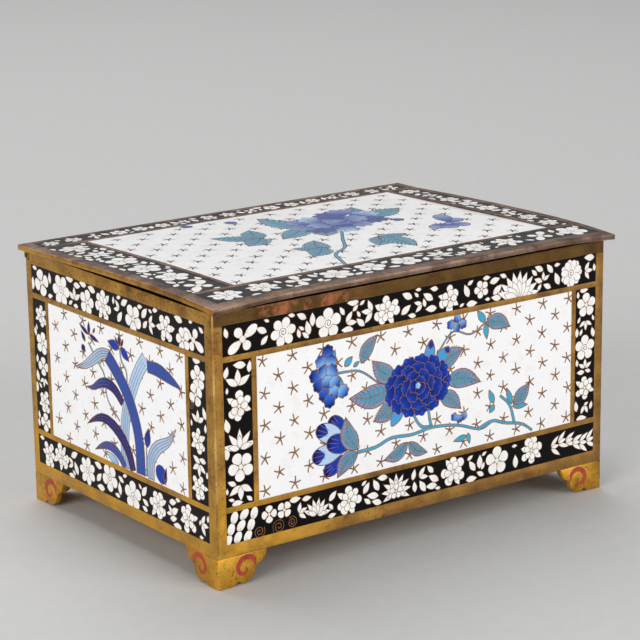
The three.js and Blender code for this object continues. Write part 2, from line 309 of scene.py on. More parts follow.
def smooth_line(points: Sequence[Point], steps: int = 5) -> Outline:
    """Draws a smooth line through points.

    Args:
        points: the points.
        steps: how many steps there are between each two.

    Returns:
        The line's points.
    """
    knots = [Vector(p) for p in points]
    padded = [2 * knots[0] - knots[1], *knots, 2 * knots[-1] - knots[-2]]
    line = [knots[0]]
    for a, b, c, d in zip(padded, padded[1:], padded[2:], padded[3:]):
        for step in range(1, steps + 1):
            t = step / steps
            line.append(
                0.5
                * (
                    2 * b
                    + (c - a) * t
                    + (2 * a - 5 * b + 4 * c - d) * t**2
                    + (3 * b - a - 3 * c + d) * t**3
                )
            )
    return line


@dataclass(frozen=True)
class Spine:
    """A cell with a bent centre line, such as a leaf, petal, blade or stem."""

    points: tuple[Point, ...]
    half_width: float
    profile: Profile
    samples: int = 9
    teeth: float = 0.0

    def outline(self, inset: float = 0.0) -> Outline:
        """Draws the cell's edge.

        Args:
            inset: how far it is drawn in.

        Returns:
            The closed outline.
        """
        line = smooth_line(self.points)
        lengths = [0.0]
        for a, b in zip(line, line[1:]):
            lengths.append(lengths[-1] + (b - a).length)
        total = lengths[-1]
        halves = [(t, self._half(t, k) - inset) for k, t in enumerate(self._stations())]
        left, right = [], []
        for k, (t, half) in enumerate(halves):
            if half <= 0:
                nearby = halves[max(0, k - 1) : k + 2]
                beside = [(place, width) for place, width in nearby if width > 0]
                if not beside:
                    continue
                t, half = t + (beside[0][0] - t) * half / (half - beside[0][1]), 0.0
            distance = inset + t * (total - 2 * inset)
            centre, across = self._on_line(line, lengths, distance)
            left.append(centre + across * half)
            right.append(centre - across * half)
        return tidy_outline(left + right[::-1])

    def _stations(self) -> list[float]:
        """Spreads the places where the width is taken.

        They are even along a stem, and closer near the ends of other shapes.

        Returns:
            Places from 0 at the base to 1 at the tip.
        """
        even = [k / self.samples for k in range(self.samples + 1)]
        if self.profile in (Profile.STEM, Profile.BAND):
            return even
        return [(1 - math.cos(math.pi * t)) / 2 for t in even]

    def _half(self, t: float, k: int) -> float:
        """The half width at t, with a tooth at every second station."""
        return self.half_width * self.profile.share(t) * (1 + self.teeth * (1 if k % 2 else -1))

    @staticmethod
    def _on_line(line: Outline, lengths: list[float], distance: float) -> tuple[Vector, Vector]:
        """Finds a point along the centre line.

        Args:
            line: the centre line.
            lengths: how far along it each of its points is.
            distance: how far along it the wanted point is.

        Returns:
            The point, and the direction across the line there.
        """
        k = 1
        while k < len(lengths) - 1 and lengths[k] < distance:
            k += 1
        step = line[k] - line[k - 1]
        share = (distance - lengths[k - 1]) / max(lengths[k] - lengths[k - 1], 1e-9)
        direction = step.normalized()
        return line[k - 1] + step * share, Vector((-direction.y, direction.x))

    def ends(self) -> tuple[Vector, Vector]:
        """Its base and its tip."""
        return Vector(self.points[0]), Vector(self.points[-1])


@dataclass(frozen=True)
class Lobed:
    """A round cell with a wavy edge, such as a scalloped petal, a berry or a flower's eye."""

    centre: Point
    radius: float
    lobes: int = 0
    depth: float = 0.0
    turn: float = 0.0
    stretch: float = 1.0
    samples: int = 14

    def outline(self, inset: float = 0.0) -> Outline:
        """Draws the cell's edge.

        Args:
            inset: how far it is drawn in.

        Returns:
            The closed outline.
        """
        points = []
        axis = Vector((math.cos(self.turn), math.sin(self.turn)))
        across = Vector((-axis.y, axis.x))
        for k in range(self.samples):
            angle = 2 * math.pi * k / self.samples
            wave = 1 - self.depth * (1 - abs(math.cos(self.lobes * angle / 2)))
            reach = max(self.radius * wave - inset, 0.02)
            points.append(
                Vector(self.centre)
                + axis * (reach * math.cos(angle))
                + across * (reach * self.stretch * math.sin(angle))
            )
        return points

    def ends(self) -> tuple[Vector, Vector]:
        """Its inner and outer ends along its axis."""
        axis = Vector((math.cos(self.turn), math.sin(self.turn))) * self.radius
        return Vector(self.centre) - axis, Vector(self.centre) + axis


Shape = Spine | Lobed


def tidy_outline(points: Outline) -> Outline:
    """Drops points that lie on the one before them.

    Args:
        points: a closed outline.

    Returns:
        The points that are left.
    """
    kept: Outline = []
    for point in points:
        if not kept or (point - kept[-1]).length > 0.01:
            kept.append(point)
    if len(kept) > 1 and (kept[0] - kept[-1]).length <= 0.01:
        kept.pop()
    return kept


def signed_area(points: Outline) -> float:
    """Area of a closed outline, positive when it runs anticlockwise."""
    return sum(a.cross(b) for a, b in zip(points, points[1:] + points[:1])) / 2


def anticlockwise(points: Outline) -> Outline:
    """A closed outline's points in anticlockwise order."""
    return points[::-1] if signed_area(points) < 0 else points


def contains(outline: Sequence[Vector], point: Vector) -> bool:
    """Whether a point lies inside a closed outline.

    Args:
        outline: the outline's corners, in order.
        point: the point to test.

    Returns:
        True where a ray from the point crosses the outline an odd number of times.
    """
    inside = False
    before = outline[-1]
    for after in outline:
        if (after.y > point.y) != (before.y > point.y):
            crossing = before.x + (point.y - before.y) * (after.x - before.x) / (after.y - before.y)
            inside ^= point.x < crossing
        before = after
    return inside


def turned(centre: Point, reach: float, angle: float) -> Point:
    """The point at a reach and an angle from a centre."""
    return (centre[0] + reach * math.cos(angle), centre[1] + reach * math.sin(angle))


# ---------- the drawing board


@dataclass
class Board:
    """A field's picture, drawn in its own design rectangle and fitted to the field.

    Later cells cover earlier ones.
    """

    design_low: Point
    design_high: Point
    ground: Glaze
    mirrored: bool = False
    wire: float = 0.27
    smallest: float = 0.004
    cells: list[Cell] = field(default_factory=list)

    def metal(self, shape: Shape) -> None:
        """Adds a cell that is all wire metal."""
        self._add(shape, 0.0, None, None)

    def enamel(self, shape: Shape, near: Glaze, far: Glaze | None = None) -> None:
        """Adds an enamel cell with a wire round it."""
        self.metal(shape)
        self.paint(shape, near, far, self.wire)

    def paint(self, shape: Shape, near: Glaze, far: Glaze | None = None, inset: float = 0.0) -> None:
        """Adds an enamel cell with no wire of its own."""
        self._add(shape, inset, near, far or near)

    def _add(self, shape: Shape, inset: float, near: Glaze | None, far: Glaze | None) -> None:
        """Adds one cell, unless it is too small to make.

        Args:
            shape: its shape.
            inset: how far it is drawn in from the shape's edge.
            near: its glaze at the start, or None for wire metal.
            far: its glaze at the end.
        """
        outline = shape.outline(inset)
        if len(outline) >= 3 and abs(signed_area(outline)) > self.smallest:
            self.cells.append(Cell(tuple(outline), near, far, *shape.ends()))

    def line(self, points: Sequence[Point], width: float = 0.3) -> None:
        """Adds a bare wire along a smooth line."""
        samples = 2 if len(points) == 2 else 3 * len(points)
        self.metal(Spine(tuple(points), width / 2, Profile.BAND, samples=samples))

    def fitted(self, point: Vector, low: Vector, high: Vector) -> Vector:
        """Moves a point from the design rectangle to the field's rectangle.

        Args:
            point: the point.
            low: the field's lower left corner.
            high: its upper right corner.

        Returns:
            The point on the field.
        """
        u = (point.x - self.design_low[0]) / (self.design_high[0] - self.design_low[0])
        v = (point.y - self.design_low[1]) / (self.design_high[1] - self.design_low[1])
        u = 1 - u if self.mirrored else u
        return Vector((low.x + u * (high.x - low.x), low.y + v * (high.y - low.y)))


# ---------- motifs


def star(board: Board, centre: Point, rng: random.Random, size: float = 2.1) -> None:
    """Draws a five-armed wire star, each a little different, as bent by hand.

    Args:
        board: the drawing.
        centre: its middle.
        rng: the source of its small differences.
        size: the reach of its arms.
    """
    start = math.pi / 2 + rng.uniform(-0.25, 0.25)
    for arm in range(5):
        angle = start + arm * 2 * math.pi / 5 + rng.uniform(-0.12, 0.12)
        reach = size * rng.uniform(0.85, 1.1)
        bend = angle + rng.uniform(-0.3, 0.3)
        points = (centre, turned(centre, reach * 0.55, angle), turned(centre, reach, (angle + bend) / 2))
        board.metal(Spine(points, 0.27, Profile.STEM, samples=4))


def star_ground(board: Board, pitch: Point, first: Point, seed: int) -> None:
    """Spreads stars in columns over the whole design, every second column half a step up.

    Args:
        board: the drawing.
        pitch: the steps between columns and between the stars of one.
        first: the first star's place.
        seed: fixes the small differences.
    """
    rng = random.Random(seed)
    u, column = first[0], 0
    while u < board.design_high[0] - 1:
        v = first[1] + (pitch[1] / 2 if column % 2 else 0)
        while v < board.design_high[1] - 1:
            star(board, (u + rng.uniform(-0.3, 0.3), v + rng.uniform(-0.3, 0.3)), rng)
            v += pitch[1]
        u += pitch[0]
        column += 1


def spiral(
    board: Board,
    centre: Point,
    radius: float,
    turns: float,
    start: float,
    width: float = 0.28,
) -> None:
    """Coils a wire from near the centre out to the radius.

    Args:
        board: the drawing.
        centre: its middle.
        radius: its reach.
        turns: how many times it goes round.
        start: the angle at which it starts.
        width: the wire's width.
    """
    count = max(7, int(turns * 7))
    points = [
        turned(centre, radius * (0.14 + 0.86 * k / count), start + turns * 2 * math.pi * k / count)
        for k in range(count + 1)
    ]
    board.metal(Spine(tuple(points), width / 2, Profile.STEM, samples=4 * count))


def leaf(
    board: Board,
    base: Point,
    tip: Point,
    width: float,
    heart: Glaze = Glaze.TURQUOISE,
    margin: Glaze = Glaze.MAUVE,
    bow: float = 0.08,
    teeth: float = 0.0,
) -> None:
    """A leaf with a midrib, close curved side veins, and a margin of another colour.

    Args:
        board: the drawing.
        base: where it leaves its stem.
        tip: its point.
        width: its greatest width.
        heart: its colour along the midrib.
        margin: its colour at the edge and the tip.
        bow: how far it bends to its left, as a share of its length.
        teeth: depth of the teeth along its edge, as a share of its half width.
    """
    along = Vector(tip) - Vector(base)
    across = Vector((-along.y, along.x))
    middle = Vector(base) + along * 0.5 + across * bow
    points = (base, tuple(middle), tip)
    board.enamel(Spine(points, width / 2, Profile.LEAF, samples=27 if teeth else 16, teeth=teeth), margin)
    inner = (Vector(base) + along * 0.04, middle - along * 0.06, Vector(base) + along * 0.84)
    board.paint(Spine(tuple(map(tuple, inner)), 0.33 * width, Profile.LEAF), heart)
    unit, side = along.normalized(), across.normalized()
    line = smooth_line(points)
    veins = max(5, round(along.length / 1.05))
    for k in range(1, veins):
        t = k / veins
        root = line[int(t * (len(line) - 1))]
        half = width / 2 * Profile.LEAF.share(t) - 0.25
        if half < 0.35:
            continue
        for sign in (-1, 1):
            bend = root + side * (sign * 0.55 * half) + unit * (0.2 * half)
            end = root + side * (sign * 0.96 * half) + unit * (0.75 * half)
            board.line((tuple(root), tuple(bend), tuple(end)), 0.18)
    board.line(points, 0.22)


def small_leaf(board: Board, base: Point, tip: Point, width: float, glaze: Glaze) -> None:
    """A plain leaf or long petal with one wire round it and none inside."""
    board.enamel(Spine((base, tip), width / 2, Profile.LEAF, samples=8), glaze)


def stem(board: Board, points: Sequence[Point], width: float = 1.25, glaze: Glaze = Glaze.STEM) -> None:
    """Draws an enamelled stem between two wires.

    Args:
        board: the drawing.
        points: its line.
        width: its width at the base.
        glaze: its colour.
    """
    board.wire, kept = 0.24, board.wire
    board.enamel(Spine(tuple(points), width / 2, Profile.STEM, samples=4 * len(points)), glaze)
    board.wire = kept


def round_petals(board: Board, centres: Iterable[Point], radius: float, near: Glaze, far: Glaze) -> None:
    """Heaps scalloped petals over one another.

    Args:
        board: the drawing.
        centres: their middles.
        radius: their size.
        near: their colour at the base.
        far: their colour at the edge.
    """
    for k, centre in enumerate(centres):
        shape = Lobed(centre, radius, lobes=5, depth=0.2, turn=0.9 * k, samples=20)
        board.enamel(shape, near, far)


def chrysanthemum(board: Board, centre: Point, reach: Point) -> None:
    """Draws a full flower head: rings of scalloped cobalt petals round a pale eye.

    Args:
        board: the drawing.
        centre: its middle.
        reach: its half width and half height.
    """
    board.wire, kept = 0.2, board.wire
    rings = ((0.82, 13, 3.1), (0.57, 10, 2.95), (0.33, 6, 2.6), (0.14, 3, 2.0))
    for ring, (share, count, size) in enumerate(rings):
        for k in range(count):
            angle = 2 * math.pi * (k + 0.5 * (ring % 2)) / count
            step = Vector((reach[0] * math.cos(angle), reach[1] * math.sin(angle)))
            place = Vector(centre) + step * share
            turn = math.atan2(step.y, step.x)
            petal = Lobed(tuple(place), size, lobes=7, depth=0.2, turn=turn, stretch=1.12, samples=36)
            board.enamel(petal, Glaze.DEEP_COBALT, Glaze.COBALT)
            fold = step.normalized()
            streak = (tuple(place + fold * (0.4 * size)), tuple(place + fold * (0.82 * size)))
            board.paint(Spine(streak, 0.34, Profile.BUD, samples=5), Glaze.COBALT, Glaze.SHEEN)
    board.enamel(Lobed(centre, 1.2, lobes=5, depth=0.2, samples=20), Glaze.SKY, Glaze.PALE)
    board.wire = kept


def dipped_petal(board: Board, base: Point, tip: Point, width: float, body: Glaze) -> None:
    """A broad petal whose tip is dark and split by short wires.

    Args:
        board: the drawing.
        base: where it leaves the flower.
        tip: its far end.
        width: its greatest width.
        body: its colour short of the tip.
    """
    along = Vector(tip) - Vector(base)
    across = Vector((-along.y, along.x)).normalized()
    board.enamel(Spine((base, tip), width / 2, Profile.PETAL, samples=14), body)
    dark = (tuple(Vector(base) + along * 0.62), tuple(Vector(base) + along * 0.97))
    board.paint(Spine(dark, 0.36 * width, Profile.PETAL, samples=10), Glaze.COBALT, Glaze.DEEP_COBALT)
    for sign in (-1, 0, 1):
        foot = Vector(base) + along * 0.6 + across * (sign * 0.14 * width)
        head = Vector(base) + along * 0.92 + across * (sign * 0.26 * width)
        board.line((tuple(foot), tuple(head)), 0.18)


def tulip(board: Board) -> None:
    """Draws the half-open flower low on the left, pale and cobalt petals with dark tips.

    Args:
        board: the drawing.
    """
    for base, tip, width, body in (
        ((47.6, 37.4), (40.8, 44.0), 5.8, Glaze.COBALT),
        ((47.5, 36.4), (35.8, 41.6), 6.2, Glaze.PALE),
        ((47.0, 31.6), (38.6, 27.2), 5.4, Glaze.COBALT),
        ((47.0, 33.4), (34.2, 33.0), 6.4, Glaze.PALE),
        ((51.0, 34.2), (39.6, 36.6), 6.4, Glaze.COBALT),
    ):
        dipped_petal(board, base, tip, width, body)
    leaf(board, (51.4, 32.4), (46.8, 43.4), 6.2, bow=0.12)
    leaf(board, (51.4, 31.6), (43.4, 25.0), 5.6, bow=-0.12)


def front_picture(board: Board) -> None:
    """Draws the chrysanthemum branch with buds on a ground of stars.

    Args:
        board: the drawing.
    """
    star_ground(board, (5.35, 9.7), (17.4, 26.6), seed=11)
    # the main branch along the bottom, and the stems that leave it
    stem(board, ((79.5, 34), (78.8, 37), (78.2, 41)))
    stem(board, ((80, 34), (75.4, 35), (72, 40)))
    branch = ((51, 31.6), (58, 31.8), (64, 33.5), (72, 33), (80, 33.8), (90, 32.5), (99, 29.6), (104, 31.2))
    stem(board, branch)
    stem(board, ((98, 29.6), (104, 31.2), (109, 29.6), (116, 28), (120.5, 25)))
    stem(board, ((113, 29), (111, 35), (107, 38.8)))
    stem(board, ((82, 56.5), (88, 62.3), (95, 60.3), (101, 63)), 0.8)
    stem(board, ((42, 57), (47, 57), (53, 56), (61, 50)), 0.9)
    for base, tip, width in (
        ((64.5, 49), (48, 48.6), 7.6), ((66, 51.5), (56.8, 58.8), 6.2), ((66, 45), (57, 39.8), 6.2),
        ((83, 51.5), (92.4, 56.6), 6.0), ((85, 47.2), (99.4, 44.6), 6.4),
        ((82.5, 43.5), (91.4, 37.4), 5.6),
    ):
        leaf(board, base, tip, width)
    for base, tip in (((78.5, 54), (79.6, 61.4)), ((82, 53.5), (86.6, 58.0)), ((68, 42.5), (64, 37.0))):
        board.enamel(Spine((base, tip), 2.4, Profile.BUD, samples=12), Glaze.AZURE, Glaze.AZURE)
    for base, tip in (((79.2, 58.2), (79.7, 61.4)), ((85.2, 56.0), (86.7, 58.0))):
        board.enamel(Spine((base, tip), 1.3, Profile.LEAF), Glaze.COBALT)
    chrysanthemum(board, (74.4, 47.9), (12.2, 8.3))
    tulip(board)
    # cluster of round petals at the upper left
    board.enamel(Spine(((41, 57), (43.4, 64.6)), 1.5, Profile.LEAF), Glaze.STEM)
    board.enamel(Spine(((42, 57), (46.8, 50.6)), 1.9, Profile.LEAF), Glaze.STEM, Glaze.AZURE)
    upper = ((40.6, 64.2), (38.2, 61.6), (41.6, 61.2), (35.9, 57.6), (39, 58.4), (42, 58.2), (37.2, 54.6))
    lower = ((40.4, 55.2), (43, 54.6), (39.2, 51.4), (42.8, 51.6), (46, 51.4), (41, 49.2))
    for k, place in enumerate(upper + lower):
        near, far = (Glaze.SKY, Glaze.COBALT) if k % 3 else (Glaze.SHEEN, Glaze.DEEP_COBALT)
        turn = math.atan2(place[1] - 57, place[0] - 40.5)
        board.enamel(Lobed(place, 2.35, lobes=7, depth=0.16, turn=turn, samples=28), near, far)
    leaf(board, (52.8, 58.4), (59.2, 66.4), 4.8)
    small_leaf(board, (46.6, 58.6), (49.8, 61.4), 2.6, Glaze.STEM)
    small_leaf(board, (49.8, 58), (52.4, 59.4), 1.6, Glaze.STEM)
    # right-hand sprays
    leaf(board, (101, 63), (111.2, 60), 5.4, bow=0.1)
    small_leaf(board, (101, 63), (97.6, 67.4), 2.8, Glaze.STEM)
    small_leaf(board, (101, 63), (101.6, 57.4), 2.4, Glaze.STEM)
    round_petals(board, ((87.2, 64.6), (89.8, 66), (92, 64), (89.6, 63.4)), 1.7, Glaze.COBALT, Glaze.SKY)
    leaf(board, (70.4, 31), (60.8, 27), 4.6, bow=0.12)
    leaf(board, (70.6, 31), (78.2, 26.2), 4.0, bow=-0.12)
    round_petals(board, ((88.6, 35.4), (92.4, 35), (90.6, 34.4)), 1.5, Glaze.COBALT, Glaze.SKY)
    small_leaf(board, (94, 28.4), (88, 27.6), 2.2, Glaze.STEM)
    small_leaf(board, (94, 29.4), (94.8, 25.4), 1.8, Glaze.STEM)
    for base, tip, width in (
        ((112, 35), (109.6, 41), 2.4), ((104.6, 36.6), (102.4, 41.6), 2.4),
        ((104.8, 36.4), (102.6, 33.8), 2.4), ((112, 34.4), (118.8, 33.8), 2.4),
    ):
        small_leaf(board, base, tip, width, Glaze.STEM)
    leaf(board, (112.4, 35), (119.4, 40.8), 5.2, bow=-0.05)


def striped_blade(
    board: Board,
    points: Sequence[Point],
    width: float,
    glazes: tuple[Glaze, Glaze],
    stripes: int,
    profile: Profile = Profile.BLADE,
) -> None:
    """A long leaf with wires running its length.

    Args:
        board: the drawing.
        points: its centre line, from base to tip.
        width: its greatest width.
        glazes: its colours at the base and at the tip.
        stripes: how many wires run along it.
        profile: how its width changes.
    """
    board.enamel(Spine(tuple(points), width / 2, profile, samples=16), *glazes)
    middle = smooth_line(points)
    for stripe in range(1, stripes + 1):
        offset = width * (stripe / (stripes + 1) - 0.5) * 0.86
        line = []
        for k in range(0, len(middle) - 1, 2):
            direction = (middle[k + 1] - middle[k]).normalized()
            across = Vector((-direction.y, direction.x))
            share = profile.share(k / (len(middle) - 1))
            line.append(tuple(middle[k] + across * offset * share))
        board.line(line, 0.1 if glazes[0] in DARK_GLAZES else 0.2)


def iris_picture(board: Board) -> None:
    """Draws iris leaves and buds on a ground of stars. u runs from the panel's front edge.

    Args:
        board: the drawing.
    """
    star_ground(board, (5.4, 9.9), (18.0, 26.0), seed=23)
    stem(board, ((68.8, 59.6), (64.6, 55.4), (60, 51), (58.8, 44), (52, 38.6)), 0.9, Glaze.TEAL)
    stem(board, ((50.8, 61.6), (50, 57.8), (47.4, 55), (47.4, 50)), 0.9, Glaze.TEAL)
    stem(board, ((37.8, 25), (37.5, 34)), 0.8, Glaze.TEAL)
    light = (Glaze.MIST, Glaze.PALE)
    dark = (Glaze.INDIGO, Glaze.INDIGO)
    royal = (Glaze.ROYAL, Glaze.ROYAL)
    second = ((49.4, 24.6), (49.6, 34), (48, 43), (44.8, 49.6), (41, 56), (36.4, 61.4))
    striped_blade(board, second, 4.9, light, 3, Profile.BAND)
    striped_blade(board, ((35.8, 59.2), (30, 59.4), (24, 58.2), (17.3, 56.2)), 4.8, royal, 0)
    arched = ((50, 44.6), (54.4, 48.0), (58.8, 49.0), (63, 48.0), (67, 45.8), (71.4, 45.2))
    striped_blade(board, arched, 4.0, (Glaze.INDIGO, Glaze.ROYAL), 2)
    drooping = ((45.4, 24.6), (47.4, 29.5), (51.4, 34), (57, 36.8), (62, 37.4), (67, 35.8), (71.6, 33.2))
    striped_blade(board, drooping, 4.6, dark, 2)
    board.enamel(Spine(((53.6, 24.7), (60.8, 27.0)), 1.5, Profile.BUD), Glaze.SKY, Glaze.PALE)
    striped_blade(board, ((50, 24.6), (53, 27.6), (57.4, 29.2), (62, 28.6), (67.4, 26)), 3.6, royal, 2)
    striped_blade(board, ((35.4, 24.6), (35.2, 30.6), (31.4, 35.4), (25, 39.0), (21, 43.8)), 5.0, light, 3)
    striped_blade(board, ((56.6, 58.4), (61.6, 57.6), (67, 54.4), (72, 51.6), (77.4, 50.2)), 4.2, light, 3)
    main_blade = ((41, 24.6), (41.5, 35), (44.4, 43.4), (48.8, 49.8), (54, 54.6), (58.2, 57.8))
    striped_blade(board, main_blade, 5.2, royal, 0, Profile.BAND)
    board.enamel(Lobed((29.8, 27.6), 3.3, turn=0.5, stretch=0.86), Glaze.COBALT, Glaze.COBALT)
    board.enamel(Spine(((28.4, 25.6), (26.8, 30.6)), 0.9, Profile.LEAF), Glaze.DEEP_COBALT)
    board.enamel(Spine(((37.5, 33.8), (35.9, 40.6)), 1.75, Profile.LEAF), Glaze.COBALT, Glaze.INDIGO)
    for base, tip, width, glaze in (
        ((68.4, 62.0), (74.2, 64.6), 1.7, Glaze.INDIGO),
        ((68.4, 62.0), (68.2, 66.4), 1.9, Glaze.INDIGO),
        ((68.4, 62.2), (62.4, 60.8), 1.7, Glaze.INDIGO),
        ((66, 63.0), (64.6, 65.0), 1.2, Glaze.INDIGO),
        ((70.6, 59.4), (73.0, 62.6), 1.9, Glaze.INDIGO),
        ((50.8, 61.6), (57.8, 62.4), 3.4, Glaze.COBALT),
        ((50.4, 62.0), (45.4, 58.4), 3.2, Glaze.COBALT),
        ((50.8, 62.0), (51.0, 66.0), 1.9, Glaze.INDIGO),
        ((51.4, 62.0), (53.6, 65.0), 1.3, Glaze.INDIGO),
        ((50.2, 62.0), (48.4, 65.0), 1.3, Glaze.INDIGO),
    ):
        small_leaf(board, base, tip, width, glaze)
    board.enamel(Lobed((72, 57.2), 1.25), Glaze.INDIGO)


def peony_picture(board: Board) -> None:
    """Draws the lid's peony branch on a ground of stars.

    Args:
        board: the drawing.
    """
    star_ground(board, (5.9, 10.6), (21.0, 21.5), seed=37)
    branch = ((58.7, 18.9), (62, 26), (65, 31), (72.6, 36), (78, 43.6), (86, 54), (94, 65))
    stem(board, branch, 1.3, Glaze.LAKE)
    for base, tip, width in (
        ((82, 62), (78.4, 87.5), 10.0), ((80, 66), (64.6, 56), 8.0), ((83, 62), (78, 51.0), 8.0),
        ((106, 64), (123.4, 70.4), 9.5), ((106, 67), (112.6, 82), 6.5), ((61, 61), (48.4, 72), 7.5),
        ((61, 62), (50.6, 54.8), 7.5), ((60, 61), (65.2, 74), 7.0), ((64, 36), (71, 49), 7.5),
        ((67, 38), (58.4, 44), 5.5), ((67, 40), (57.2, 31.6), 7.0), ((91, 41), (81.8, 31.2), 7.5),
        ((88, 38), (99.6, 39.0), 5.5), ((90, 41), (90.8, 24.0), 8.0),
    ):
        leaf(board, base, tip, 1.12 * width, Glaze.LAKE, Glaze.TEAL, 0.05, 0.1)
    far = ((84, 72), (90, 73), (98, 75), (104, 77), (108, 70))
    near = ((105, 62), (97, 60), (89, 57), (83, 60), (81, 66))
    for k, place in enumerate(far + near):
        turn = math.atan2(place[1] - 67.0, place[0] - 94.5)
        petal = Lobed(place, 5.8, lobes=9, depth=0.26, turn=turn, stretch=0.95, samples=36)
        board.enamel(petal, Glaze.VIOLET, (Glaze.LILAC, Glaze.PALE, Glaze.VIOLET)[k % 3])
        for fan in (-0.5, 0.0, 0.5):
            board.line((turned(place, 1.0, turn + fan), turned(place, 4.6, turn + fan)), 0.18)
    inner = (((87, 65), 5.4), ((93, 63), 5.0), ((101, 67), 5.6), ((95, 69), 5.0), ((94.5, 66), 3.0))
    for k, (place, size) in enumerate(inner):
        petal = Lobed(place, size, lobes=7, depth=0.28, turn=1.3 * k, samples=28)
        board.enamel(petal, Glaze.ROYAL if k % 2 else Glaze.LILAC, Glaze.LILAC if k % 2 else Glaze.VIOLET)
    for base, tip in (
        ((119, 42), (110, 39.0)), ((119, 42), (126.6, 46)), ((120, 43), (125.4, 53.8)),
        ((119, 41), (123, 36)), ((118, 42), (115, 35.6)),
    ):
        board.enamel(Spine((base, tip), 3.0, Profile.PETAL, samples=12), Glaze.VIOLET, Glaze.LILAC)
    board.enamel(Lobed((119, 41.8), 1.5), Glaze.LILAC)
    for place in ((68.4, 88), (54.4, 92.4), (103.6, 59.4), (110.4, 56)):
        board.enamel(Lobed(place, 2.3, lobes=5, depth=0.2), Glaze.VIOLET)


def plain_branch_picture(board: Board) -> None:
    """Draws the hidden back's plainer picture: one flower on a branch, on a ground of stars.

    Args:
        board: the drawing.
    """
    star_ground(board, (5.35, 9.7), (17.4, 26.6), seed=51)
    stem(board, ((36, 29), (52, 34), (66, 33), (82, 38), (98, 46), (112, 47)), 1.0)
    stem(board, ((66, 33), (70, 40), (75, 46)), 0.9)
    for base, tip, width in (
        ((70, 48), (58, 52), 6.4), ((82, 49), (94, 55), 6.4), ((52, 34), (44, 41), 5.0),
        ((88, 41), (94, 34), 5.0), ((112, 47), (121, 53), 5.4), ((100, 46.4), (104, 38.6), 4.6),
    ):
        leaf(board, base, tip, width)
    chrysanthemum(board, (76.0, 48.8), (10.6, 8.2))
    for base, tip in (((112, 47), (117, 42.4)), ((36, 29), (30.4, 32))):
        board.enamel(Spine((base, tip), 2.0, Profile.BUD, samples=12), Glaze.COBALT, Glaze.SKY)


# ---------- white flowers of the borders


class Bloom(Enum):
    """The kinds of white motif in the black borders."""

    FLOWER = "flower"
    COILED = "coiled"
    CLUSTER = "cluster"
    CROSS = "cross"
    FAN = "fan"
    LOTUS = "lotus"
    LEAVES = "leaves"
    BERRIES = "berries"
    SCROLL = "scroll"
    SWEEP = "sweep"


@dataclass(frozen=True)
class Motif:
    """One white motif: its kind, centre, radius and turn in degrees."""

    kind: Bloom
    centre: Point
    radius: float
    turn: float = 0.0
    petals: int = 5


def white_petal(
    board: Board,
    base: Point,
    tip: Point,
    width: float,
    profile: Profile = Profile.PETAL,
) -> None:
    """One white petal, a little greyer at its base."""
    board.enamel(Spine((base, tip), width / 2, profile, samples=9), Glaze.PETAL_SHADE, Glaze.PETAL)


def draw_flower(board: Board, motif: Motif, spiral_eye: bool) -> None:
    """Draws rounded petals round an eye, or round a coiled wire.

    Args:
        board: the drawing.
        motif: the motif.
        spiral_eye: whether a coiled wire takes the eye's place.
    """
    start = math.radians(motif.turn)
    width = 1.36 * motif.radius * math.sin(math.pi / motif.petals)
    for k in range(motif.petals):
        angle = start + 2 * math.pi * k / motif.petals
        inner = turned(motif.centre, 0.1 * motif.radius, angle)
        white_petal(board, inner, turned(motif.centre, motif.radius, angle), width)
    if spiral_eye:
        board.paint(Lobed(motif.centre, 0.36 * motif.radius), Glaze.PETAL)
        spiral(board, motif.centre, 0.34 * motif.radius, 1.7, start, 0.28)
    else:
        board.enamel(Lobed(motif.centre, 0.2 * motif.radius, samples=8), Glaze.PETAL_SHADE)


def draw_cluster(board: Board, motif: Motif) -> None:
    """Draws a blossom with leaves and half-hidden buds round it.

    Args:
        board: the drawing.
        motif: the motif.
    """
    rng = random.Random(repr(motif.centre))
    start = math.radians(motif.turn)
    around = motif.petals + 1
    for k in range(around):
        angle = start + 2 * math.pi * (k + 0.5) / around + rng.uniform(-0.2, 0.2)
        inner = turned(motif.centre, 0.3 * motif.radius, angle)
        pointed = k % 3 == 2
        tip = turned(motif.centre, rng.uniform(0.9, 1.05) * motif.radius * (1.1 if pointed else 1.0), angle)
        girth = rng.uniform(0.4, 0.46) if pointed else rng.uniform(0.5, 0.66)
        white_petal(board, inner, tip, girth * motif.radius, Profile.LEAF if pointed else Profile.PETAL)
    blossom = Motif(Bloom.FLOWER, motif.centre, 0.68 * motif.radius, motif.turn, motif.petals)
    draw_flower(board, blossom, False)


def draw_fan(board: Board, motif: Motif, spread: float) -> None:
    """Draws pointed petals in two rows, opened like a fan.

    Args:
        board: the drawing.
        motif: the motif.
        spread: how far it opens, in degrees.
    """
    middle = math.radians(motif.turn)
    for row, share in enumerate((1.0, 0.68)):
        count = motif.petals - 2 * row
        for k in range(count):
            angle = middle + math.radians(spread) * (k / (count - 1) - 0.5)
            tip = turned(motif.centre, motif.radius * share, angle)
            white_petal(board, turned(motif.centre, 0.1, angle), tip, 0.32 * motif.radius, Profile.LEAF)


def leaf_angles(motif: Motif) -> list[float]:
    """Where the leaves of a spray point."""
    return [math.radians(motif.turn + 58 * (k - (motif.petals - 1) / 2)) for k in range(motif.petals)]


def draw_leaves(board: Board, motif: Motif) -> None:
    """Draws leaves that spread from one point.

    Args:
        board: the drawing.
        motif: the motif.
    """
    for angle in leaf_angles(motif):
        tip = turned(motif.centre, motif.radius, angle)
        white_petal(board, motif.centre, tip, 0.44 * motif.radius, Profile.LEAF)


